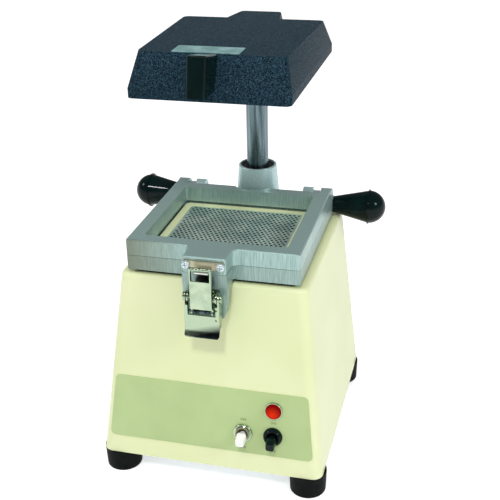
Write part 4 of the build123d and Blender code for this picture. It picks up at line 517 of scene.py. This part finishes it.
wrinkle_paint = finish_of("wrinkle_paint", light_of(14, 26, 32), roughness=0.3)
shader_of(wrinkle_paint).inputs["IOR"].default_value = PAINT_IOR
ridges = noise_of(wrinkle_paint, 1.0 * MM)
ridges.node.inputs["Distortion"].default_value = RIDGE_TWIST
# Painted sheen: the tops of the ridges are painted pale.
mottle(wrinkle_paint, ridges, light_of(6, 19, 25), light_of(62, 92, 110), low=0.4, high=0.78)
# Painted glints on a few of the ridges.
painted_glints = spread(
    wrinkle_paint, noise_of(wrinkle_paint, 0.8 * MM, 2), low=0.68, high=0.76, out_low=0, out_high=0.5)
paint_over(
    wrinkle_paint, mix_colours(wrinkle_paint, painted_glints, tone_of(wrinkle_paint), light_of(150, 182, 205)))
bump(wrinkle_paint, ridges, depth=0.35 * MM, strength=0.3)
print("wrinkle paint made")

# %% [markdown]
# ## Black plastics and rubber
# The pull knobs and the heater's grip are polished black plastic that mirrors the room in a few
# sharp glints. The lamp's body and the ring nuts are satin plastic. Both switch bodies share one
# node, and only the left one shows warm metal round its lever, so their finish goes over from metal
# to black between the two, by X. The feet and the seals are rubber, which scatters light and shows
# a faint bloom.

# %% Make the black plastics and the rubber
SWITCH_METAL_END = 40 * MM
SWITCH_BLACK_START = 44 * MM

polished_black = grained_finish(
    "polished_black", colour=(7, 24, 24), dark=(5, 20, 20), pale=(9, 29, 29), cloud=(20 * MM, 2),
    grain=(8 * MM, 2), depth=0.02 * MM, strength=0.3, roughness=0.05, specular=0.13)
satin_black = grained_finish(
    "satin_black", colour=(12, 15, 15), dark=(9, 12, 12), pale=(17, 21, 21), cloud=(10 * MM, 2),
    grain=(0.7 * MM, 2), depth=0.03 * MM, strength=0.4, roughness=0.4, specular=0.22)
switch_black = finish_of(
    "switch_black", light_of(12, 15, 15), roughness=0.35, metallic=0.3, specular=0.22)
mottle(
    switch_black, place_of(switch_black)[1]["X"], light_of(148, 146, 116), light_of(10, 13, 13),
    SWITCH_METAL_END, SWITCH_BLACK_START)
bump(switch_black, noise_of(switch_black, 0.7 * MM, 2), depth=0.03 * MM, strength=0.4)
foot_rubber = grained_finish(
    "foot_rubber", colour=(5, 9, 8), dark=(3, 7, 6), pale=(11, 17, 15), cloud=(6 * MM, 3),
    grain=(1.2 * MM, 3), depth=0.06 * MM, strength=0.5, roughness=0.6, specular=0.08)
print("black plastics and rubber made")

# %% [markdown]
# ## The white lever and the red lens
# One switch lever is white plastic. The lamp's lens is clear red plastic over a dark hole, so it is
# brightest low down, where the light that falls in gathers. True glass would need many bounces of
# light for a piece of a few millimetres. A tone that darkens with the distance from the bright spot
# looks the same and costs nothing.

# %% Make the lever's plastic and the lens
LENS_GLOW_AT = Vector((-0.6, 0.0, -2.6)) * MM
LENS_BRIGHT = 1.0 * MM
LENS_DARK = 8.0 * MM

white_lever = grained_finish(
    "white_lever", colour=(250, 252, 250), dark=(247, 250, 247), pale=(253, 254, 252),
    cloud=(10 * MM, 2), grain=(2 * MM, 2), depth=0.01 * MM, strength=0.3, roughness=0.3, coat=0.2)

lens_low, lens_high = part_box("lamp_lens")
glow_spot = (Vector(lens_low) + Vector(lens_high)) / 2 + LENS_GLOW_AT
red_lens = finish_of("red_lens", light_of(190, 16, 2), roughness=0.08, specular=0.05)
mottle(
    red_lens, reading_of(red_lens, "DISTANCE", glow_spot), light_of(236, 50, 6), light_of(128, 4, 0),
    LENS_BRIGHT, LENS_DARK)
bump(red_lens, noise_of(red_lens, 1.6 * MM, 1), depth=0.06 * MM, strength=0.4)
print("lens is brightest", round(glow_spot.z / MM, 1), "mm up")

# %% [markdown]
# ## Sheet, board and leads of the heater
# On the heater's top is a thin bare plate, brushed along X, with stains from heat and handling. The
# board and the supports inside are pressed ceramic fibre, and the leads wear a braided sleeve. Both
# are matt, with a coarse bump, because strands that fine would be wasted inside the machine.

# %% Make the heater's sheet, board and leads
bare_plate = grained_finish(
    "bare_plate", colour=(136, 182, 180), dark=(118, 166, 164), pale=(158, 202, 200),
    cloud=(8 * MM, 4), grain=(0.5 * MM, 2, (20, 1, 1)), depth=0.02 * MM, strength=0.3,
    roughness=0.35, metallic=0.3)
ceramic_fibre = grained_finish(
    "ceramic_fibre", colour=(222, 218, 206), dark=(206, 200, 186), pale=(232, 228, 218),
    cloud=(4 * MM, 4), grain=(1 * MM, 4), depth=0.2 * MM, strength=0.6, roughness=0.85,
    specular=0.2)
braided_sleeve = grained_finish(
    "braided_sleeve", colour=(206, 198, 176), dark=(186, 176, 152), pale=(220, 214, 196),
    cloud=(1 * MM, 2), grain=(0.7 * MM, 1, (1, 1, 2)), depth=0.2 * MM, strength=0.8,
    roughness=0.8, specular=0.2)
print("sheet, board and sleeve made")

# %% [markdown]
# ## Put each finish on its solids
# The solids came in with one plain material each. A table from finish to node names is easier to
# read and to change than one line a node, and the loop stops if a node is missing.

# %% Paint the solids
FINISHES = {
    cream_enamel: ["housing", "forming_platform"],
    panel_film: ["control_panel"],
    milled_aluminium: ["upper_frame", "vacuum_plate"],
    frame_casting: ["lower_frame"],
    cast_aluminium: ["post_flange", "motor_frame", "suction_impeller"],
    nickel_plate: [
        "latch_base", "latch_base_screws", "latch_pin", "latch_claw", "detent_ball",
        "detent_spring", "reflector", "lamp_bezel",
    ],
    lever_plate: ["latch_lever"],
    tan_plate: ["keeper_plate"],
    drawn_steel: ["post_tube", "motor_shaft", "claw_pin", "claw_springs"],
    zinc_plate: [
        "keeper_screws", "hinge_spacers", "hinge_pins", "base_plate", "foot_screws",
        "post_flange_screws", "fan_case", "motor_studs", "detent_screw", "knob_studs",
        "handle_screws", "reflector_screws",
    ],
    dark_sheath: ["heating_element"],
    lamination: ["motor_stator", "motor_armature"],
    bronze: ["post_cap", "motor_bearings", "heater_bush"],
    wrinkle_paint: ["heater_cover"],
    polished_black: ["slide_knobs", "heater_handle", "heater_toggle"],
    satin_black: ["lamp_body", "toggle_nuts", "post_bush"],
    switch_black: ["toggle_bodies"],
    foot_rubber: ["rubber_feet", "platform_seal", "cord_bush", "intake_seal", "frame_gasket"],
    white_lever: ["vacuum_toggle"],
    red_lens: ["lamp_lens"],
    bare_plate: ["heater_plate"],
    ceramic_fibre: ["insulation_board", "element_supports"],
    braided_sleeve: ["heater_leads"],
}
painted = 0
for material, names in FINISHES.items():
    for name in names:
        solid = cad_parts[name]
        solid.data.materials.clear()
        solid.data.materials.append(material)
        painted += 1
print("painted", painted, "of", len(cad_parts), "nodes")

# %% [markdown]
# ## Building meshes point by point
# The fine details are new meshes. Blender's own primitives would do for rough shapes, but a list of
# points and faces gives each piece its exact outline. One helper makes the object, gives it a finish,
# and lets it ride on its body. Another joins rings of points into a skin.

# %% Helpers for pieces
def add_piece(name, points, faces, material, body, slot, smooth=False):
    """A mesh piece, in place, that rides on a body."""
    mesh = bpy.data.meshes.new(name)
    mesh.from_pydata([tuple(p) for p in points], [], faces)
    mesh.update()
    mesh.materials.append(material)
    if smooth:
        mesh.polygons.foreach_set("use_smooth", [True] * len(mesh.polygons))
    piece = bpy.data.objects.new(name, mesh)
    bpy.context.collection.objects.link(piece)
    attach(piece, body)
    return piece


def skin_faces(rings, steps):
    """The faces that join each ring of points to the next."""
    faces = []
    for ring in range(rings - 1):
        for step in range(steps):
            after = (step + 1) % steps
            a, b = ring * steps + step, ring * steps + after
            faces.append((a, b, b + steps, a + steps))
    return faces


print("piece helpers are ready")

# %% [markdown]
# ## The perforated plate
# The real plate is drilled with several hundred fine holes in staggered rows. That many holes would be
# slow as solids, so the measured model has a coarser pattern, and a boolean cut of each hole would be
# slow here too. Instead the pattern is one mesh: each hole sits in its own oblong cell, and the cells
# tile the plate. The steel is satin, and the walls of the holes are painted nearly black as shade, so
# they look deep from the side.

# %% Lay out the rows of holes
HOLE_PITCH = 4.0 * MM
HOLE_RADIUS = 1.22 * MM
PLATE_MARGIN = 0.8 * MM

plate_steel = grained_finish(
    "plate_steel", colour=(180, 208, 198), dark=(160, 190, 182), pale=(204, 226, 214),
    cloud=(20 * MM, 2), grain=(0.7 * MM, 2), depth=0.03 * MM, strength=0.3, roughness=0.28,
    metallic=0.5)
# Painted shade: the walls of the holes are nearly black, so they look deep.
shaded_hole_wall = grained_finish(
    "shaded_hole_wall", colour=(26, 34, 36), dark=(16, 24, 26), pale=(40, 50, 52), cloud=(2 * MM, 2),
    roughness=0.6, metallic=0.3, specular=0.2)

plate_low, plate_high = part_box("vacuum_plate")
top, under = plate_high[2], plate_low[2]
stagger = HOLE_PITCH / 2
row_height = HOLE_PITCH * math.sqrt(3) / 2
inside_width = plate_high[0] - plate_low[0] - 2 * PLATE_MARGIN
inside_depth = plate_high[1] - plate_low[1] - 2 * PLATE_MARGIN
columns = int((inside_width - stagger) / HOLE_PITCH)
rows = int(inside_depth / row_height)
field_width = columns * HOLE_PITCH + stagger
field_left = (plate_low[0] + plate_high[0] - field_width) / 2
field_front = (plate_low[1] + plate_high[1] - rows * row_height) / 2
field_right = field_left + field_width
field_rear = field_front + rows * row_height
print(rows, "rows of", columns, "holes")

# %% [markdown]
# ## A cell and its hole
# A flat face is laid twice, on the plate's top and below it. Between a round hole and the oblong
# edge of its cell lies a ring of such faces. The ring's corners are where rays from the middle meet
# the circle and the edge, and the cell's own corners are among the rays, so that the cells meet
# without gaps.

# %% Helpers for the cells
ROUND_STEPS = 16
NEAR_ZERO = 1e-9
plate_points, plate_faces, wall_faces = [], [], []


def flat_face(corners):
    """A level face of the plate's top, and the same face below it."""
    for height, ordered in ((top, corners), (under, reversed(corners))):
        start = len(plate_points)
        plate_points.extend((x, y, height) for x, y in ordered)
        plate_faces.append(tuple(range(start, start + len(corners))))


def flat_box(x0, y0, x1, y1):
    """An oblong level face, from its lowest corner to its highest."""
    flat_face([(x0, y0), (x1, y0), (x1, y1), (x0, y1)])


def cell_edge(angle):
    """Where a ray from a cell's middle meets the cell's edge."""
    dx, dy = math.cos(angle), math.sin(angle)
    to_side = HOLE_PITCH / 2 / max(abs(dx), NEAR_ZERO)
    to_end = row_height / 2 / max(abs(dy), NEAR_ZERO)
    reach = min(to_side, to_end)
    return dx * reach, dy * reach


def drill_cell(x, y):
    """One cell of the plate with its hole, whose walls go through the plate."""
    for place, angle in enumerate(cell_angles):
        after = cell_angles[(place + 1) % len(cell_angles)]
        near_a = (x + HOLE_RADIUS * math.cos(angle), y + HOLE_RADIUS * math.sin(angle))
        near_b = (x + HOLE_RADIUS * math.cos(after), y + HOLE_RADIUS * math.sin(after))
        ax, ay = cell_edge(angle)
        bx, by = cell_edge(after)
        flat_face([near_a, (x + ax, y + ay), (x + bx, y + by), near_b])
        start = len(plate_points)
        plate_points.extend([(*near_a, top), (*near_b, top), (*near_b, under), (*near_a, under)])
        wall_faces.append(len(plate_faces))
        plate_faces.append((start, start + 1, start + 2, start + 3))


corner_angle = math.atan2(row_height, HOLE_PITCH)
cell_angles = sorted(
    [corner_angle, math.pi - corner_angle, math.pi + corner_angle, 2 * math.pi - corner_angle]
    + [2 * math.pi * step / ROUND_STEPS for step in range(ROUND_STEPS)]
)
print("sides of a cell's ring:", len(cell_angles))

# %% [markdown]
# ## Drilling the plate
# Every second row is shifted by half a pitch, which leaves half a cell bare at one end of each row.
# Small plain faces fill those, and a strip of plain plate runs round the whole field.

# %% Drill the plate
holes = 0
for row in range(rows):
    shift = stagger if row % 2 else 0
    row_front = field_front + row * row_height
    for column in range(columns):
        drill_cell(field_left + shift + (column + 0.5) * HOLE_PITCH, row_front + row_height / 2)
        holes += 1
    bare_left = field_left if shift else field_right - stagger
    flat_box(bare_left, row_front, bare_left + stagger, row_front + row_height)
for strip in (
    (plate_low[0], plate_low[1], plate_high[0], field_front),
    (plate_low[0], field_rear, plate_high[0], plate_high[1]),
    (plate_low[0], field_front, field_left, field_rear),
    (field_right, field_front, plate_high[0], field_rear),
):
    flat_box(*strip)
fine_plate = add_piece(
    "fine_perforated_plate", plate_points, plate_faces, plate_steel, "base", "cast_aluminium")
fine_plate.data.materials.append(shaded_hole_wall)
for face in wall_faces:
    fine_plate.data.polygons[face].material_index = 1
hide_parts("vacuum_plate")
print("holes in the fine plate:", holes)

# %% [markdown]
# ## Switch dress rings
# The left switch is held by a bright ring nut, and the right one has a swollen black bezel. Both
# could be cylinders with bevels, but a short profile swept round the switch's axis gives their real
# steps and curves. Their place and axis come from the measured ring nuts: the housing's front leans
# back, and the rings lean with it.

# %% Turn the two rings
FRONT_LEANS_BACK = 26.5
FRONT_RISES = 163.0
RING_RADIUS = 8.2 * MM
RING_THICK = 2.4 * MM
RING_STEPS = 48
BRIGHT_PROFILE = [
    (0.0, 8.2), (1.5, 8.2), (2.0, 7.9), (2.2, 7.4), (1.9, 6.9), (1.9, 6.6), (2.4, 6.4),
    (2.4, 6.15), (0.0, 6.15),
]
BLACK_PROFILE = [
    (0.0, 8.2), (1.2, 8.2), (2.3, 7.9), (3.4, 7.2), (4.2, 6.6), (4.4, 6.3), (4.2, 6.15),
    (0.0, 6.15),
]

panel_lean = math.atan2(FRONT_LEANS_BACK, FRONT_RISES)
out_of_panel = Vector((0, -math.cos(panel_lean), math.sin(panel_lean)))
up_the_panel = Vector((0, math.sin(panel_lean), math.cos(panel_lean)))
sideways = Vector((1, 0, 0))


def turned(profile, place, axis, across):
    """Points and faces of a profile of (along, radius) pairs in mm, turned about an axis."""
    other = axis.cross(across)
    points = []
    for along, radius in profile:
        for step in range(RING_STEPS):
            angle = 2 * math.pi * step / RING_STEPS
            spoke = across * math.cos(angle) + other * math.sin(angle)
            points.append(place + axis * along * MM + spoke * radius * MM)
    return points, skin_faces(len(profile), RING_STEPS)


nut_low, nut_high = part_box("toggle_nuts")
ring_middle = (Vector(nut_low) + Vector(nut_high)) / 2
back_of_ring = -out_of_panel * (RING_THICK / 2)
left_place = Vector((nut_low[0] + RING_RADIUS, ring_middle.y, ring_middle.z)) + back_of_ring
right_place = Vector((nut_high[0] - RING_RADIUS, ring_middle.y, ring_middle.z)) + back_of_ring
rings = (
    ("vacuum_switch_ring", left_place, BRIGHT_PROFILE, nickel_plate, "polished_steel"),
    ("heater_switch_ring", right_place, BLACK_PROFILE, polished_black, "black_gloss"),
)
for name, place, profile, material, slot in rings:
    points, faces = turned(profile, place, out_of_panel, sideways)
    ring = add_piece(name, points, faces, material, "base", slot, smooth=True)
    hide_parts("toggle_nuts")
print("rings turned:", len(rings))

# %% [markdown]
# ## Switch levers
# Each lever wears a moulded paddle: nearly square across, widest near the ring, with a flat end. A
# cube with a subdivision modifier would come near, but its corners are hard to set to a size. Here
# its outline at each distance from the pivot is a rounded square, and the outlines are joined into
# one closed skin. The pivot comes from the measured lever, whose ball is the highest and rearmost
# part of it, and the lever hangs at the switch's rest angle.

# %% Mould the paddles
LEVER_BALL = 3.0 * MM
LEVER_REST = math.radians(17.0)
LEVER_STEPS = 32
SQUARENESS = 5
PADDLE_PROFILE = [
    (1.0, 2.0, 2.0), (2.6, 2.1, 2.1), (4.2, 3.4, 2.9), (6.0, 4.15, 3.5), (10.0, 3.9, 3.7),
    (13.7, 3.5, 3.8), (14.1, 3.3, 3.6), (14.3, 2.9, 3.2),
]

lever_drop = LEVER_REST - panel_lean
lever_along = Vector((0, -math.cos(lever_drop), -math.sin(lever_drop)))
lever_above = sideways.cross(lever_along)


def rounded_square(middle, half_width, half_thick):
    """The points of a lever's outline round its middle, from half widths in mm."""
    points = []
    for step in range(LEVER_STEPS):
        angle = 2 * math.pi * step / LEVER_STEPS
        cos, sin = math.cos(angle), math.sin(angle)
        reach = MM / (abs(cos) ** SQUARENESS + abs(sin) ** SQUARENESS) ** (1 / SQUARENESS)
        points.append(
            middle + sideways * cos * reach * half_width + lever_above * sin * reach * half_thick)
    return points


paddles = (
    ("vacuum_switch_paddle", "vacuum_toggle", "vacuum_switch", white_lever, "white_plastic"),
    ("heater_switch_paddle", "heater_toggle", "heater_switch", polished_black, "black_gloss"),
)
for name, node, body, material, slot in paddles:
    low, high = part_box(node)
    pivot = Vector(((low[0] + high[0]) / 2, high[1] - LEVER_BALL, high[2] - LEVER_BALL))
    points = []
    for along, half_width, half_thick in PADDLE_PROFILE:
        points += rounded_square(pivot + lever_along * along * MM, half_width, half_thick)
    faces = skin_faces(len(PADDLE_PROFILE), LEVER_STEPS)
    faces.append(tuple(reversed(range(LEVER_STEPS))))
    faces.append(tuple(range(len(points) - LEVER_STEPS, len(points))))
    paddle = add_piece(name, points, faces, material, body, slot)
    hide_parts(node)
print("paddles moulded:", len(paddles))

# %% [markdown]
# ## Words at the switches
# A switch needs to say which way is on. ON and OFF could be painted by an image, but Blender's text
# turned into meshes stays sharp at any size. The meshes lie on the panel film. They are plain print,
# so a dark finish without relief is enough.

# %% Print the switch words
WORD_HEIGHT = 2.2 * MM
CAPITAL_SHARE = 0.7
WORD_RISE = 12.2 * MM
WORD_DROP = 13.6 * MM
INK_THICK = 0.02 * MM
INK_LIFT = 0.05 * MM

print_ink = grained_finish(
    "print_ink", colour=(48, 58, 30), dark=(42, 52, 26), pale=(56, 68, 36), cloud=(2 * MM, 2),
    roughness=0.6, specular=0.2)
panel_turn = Matrix((sideways, up_the_panel, out_of_panel)).transposed().to_4x4()
words = [
    (switch, place, word, rise)
    for switch, place in (("vacuum", left_place), ("heater", right_place))
    for word, rise in (("ON", WORD_RISE), ("OFF", -WORD_DROP))
]
for switch, place, word, rise in words:
    text = bpy.data.curves.new(f"{switch}_{word}", "FONT")
    text.body = word
    text.size = WORD_HEIGHT / CAPITAL_SHARE
    text.align_x = "CENTER"
    text.align_y = "CENTER"
    text.extrude = INK_THICK
    carrier = bpy.data.objects.new(f"{switch}_{word}_text", text)
    bpy.context.collection.objects.link(carrier)
    bpy.context.view_layer.update()
    flat = bpy.data.meshes.new_from_object(
        carrier.evaluated_get(bpy.context.evaluated_depsgraph_get()))
    bpy.data.objects.remove(carrier)
    spot = place + up_the_panel * rise + out_of_panel * INK_LIFT
    flat.transform(Matrix.Translation(spot) @ panel_turn)
    flat.materials.clear()
    flat.materials.append(print_ink)
    label = bpy.data.objects.new(f"word_{switch}_{word.lower()}", flat)
    bpy.context.collection.objects.link(label)
    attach(label, "base")
print("words printed:", len(words))

# %% [markdown]
# ## The floor
# A product picture has a white ground with a soft shadow where the object stands. A brighter lamp
# would make the ground white, but it would wash out the object too. So the paper takes its shadow
# from the lamps, and a share of its white is its own glow, which only the camera, gloss and glass
# see, and no light comes from it.

# %% Lay the floor
FLOOR_HALF = 6.0
FLOOR_GLOW = 0.5

floor_mesh = bpy.data.meshes.new("floor")
floor_corners = [
    (-FLOOR_HALF, -FLOOR_HALF, 0), (FLOOR_HALF, -FLOOR_HALF, 0),
    (FLOOR_HALF, FLOOR_HALF, 0), (-FLOOR_HALF, FLOOR_HALF, 0),
]
floor_mesh.from_pydata(floor_corners, [], [(0, 1, 2, 3)])
floor = bpy.data.objects.new("floor", floor_mesh)
bpy.context.collection.objects.link(floor)


def seen_rays(owner):
    """1 for a ray that the camera, gloss or glass looks along, and 0 for a ray of light."""
    path = owner.node_tree.nodes.new("ShaderNodeLightPath")
    seen = path.outputs["Is Camera Ray"]
    for kind in ("Is Glossy Ray", "Is Transmission Ray"):
        either = owner.node_tree.nodes.new("ShaderNodeMath")
        either.operation = "MAXIMUM"
        owner.node_tree.links.new(seen, either.inputs[0])
        owner.node_tree.links.new(path.outputs[kind], either.inputs[1])
        seen = either.outputs["Value"]
    return seen


floor_paper = finish_of("floor_paper", (0.9, 0.9, 0.9), roughness=0.9, specular=0.1)
paper = shader_of(floor_paper)
paper.inputs["Emission Color"].default_value = (1, 1, 1, 1)
paper_glow = spread(floor_paper, seen_rays(floor_paper), 0, 1, 0, FLOOR_GLOW)
floor_paper.node_tree.links.new(paper_glow, paper.inputs["Emission Strength"])
floor_mesh.materials.append(floor_paper)
print("floor laid, glow", FLOOR_GLOW)

# %% [markdown]
# ## The room's light
# A pale world lights the object from all sides, which softens every shadow. It is full white only
# where it is looked at. A real studio is darker overhead than at its pale walls, and that shows in
# level gloss such as the heater's top. So rays of gloss that go up see a dimmer ceiling, which a
# second room of walls would give too, at the cost of much slower light.

# %% Light the world
WORLD_LIGHT = 0.55
CEILING_LIGHT = 0.2
CEILING_FROM = 0.02
CEILING_TO = 0.17

world = bpy.data.worlds.new("studio")
bpy.context.scene.world = world
world.use_nodes = True
sky = world.node_tree.nodes["Background"]
sky.inputs["Color"].default_value = (1, 1, 1, 1)
look = world.node_tree.nodes.new("ShaderNodeTexCoord")
rise = world.node_tree.nodes.new("ShaderNodeSeparateXYZ")
world.node_tree.links.new(look.outputs["Generated"], rise.inputs["Vector"])
is_gloss = world.node_tree.nodes.new("ShaderNodeLightPath").outputs["Is Glossy Ray"]
looks_up = spread(world, rise.outputs["Z"], CEILING_FROM, CEILING_TO, 0, 1)
ceiling = spread(world, product_of(world, looks_up, is_gloss), 0, 1, 1, CEILING_LIGHT)
level = spread(world, seen_rays(world), 0, 1, WORLD_LIGHT, 1)
world.node_tree.links.new(product_of(world, level, ceiling), sky.inputs["Strength"])
print("world light", WORLD_LIGHT, "ceiling", CEILING_LIGHT)

# %% [markdown]
# ## The lamps
# Area lamps give soft edges to shadows, where point lamps or a sun would give hard ones. The key
# lamp stands high in front and draws the shadow, a small one beside it puts glints on the knobs, and
# two weak ones fill the sides. Together with the world they light a pale face to the level at which
# a colour looks as it is written.

# %% Hang the lamps
AIM = Vector((0, 0, 0.18))
LAMPS = (
    # name, place, width in metres, power in watts
    ("key_lamp", (0.1, -1.4, 1.7), 0.25, 13),
    ("glint_lamp", (-0.54, -0.91, 1.97), 0.15, 1.5),
    ("fill_lamp", (1.5, -0.6, 1.2), 0.45, 10),
    ("left_lamp", (-1.5, -0.3, 1.2), 0.4, 5),
)
for name, place, width, power in LAMPS:
    lamp = bpy.data.lights.new(name, "AREA")
    lamp.shape = "SQUARE"
    lamp.size = width
    lamp.energy = power
    holder = bpy.data.objects.new(name, lamp)
    holder.location = place
    holder.rotation_euler = (AIM - Vector(place)).to_track_quat("-Z", "Y").to_euler()
    bpy.context.collection.objects.link(holder)
print("lamps hung:", len(LAMPS))

# %% [markdown]
# ## Finish
# The view transform stays Standard, so that a colour leaves the render as it was written.

# %% Finish the scene
bpy.context.scene.view_settings.view_transform = "Standard"
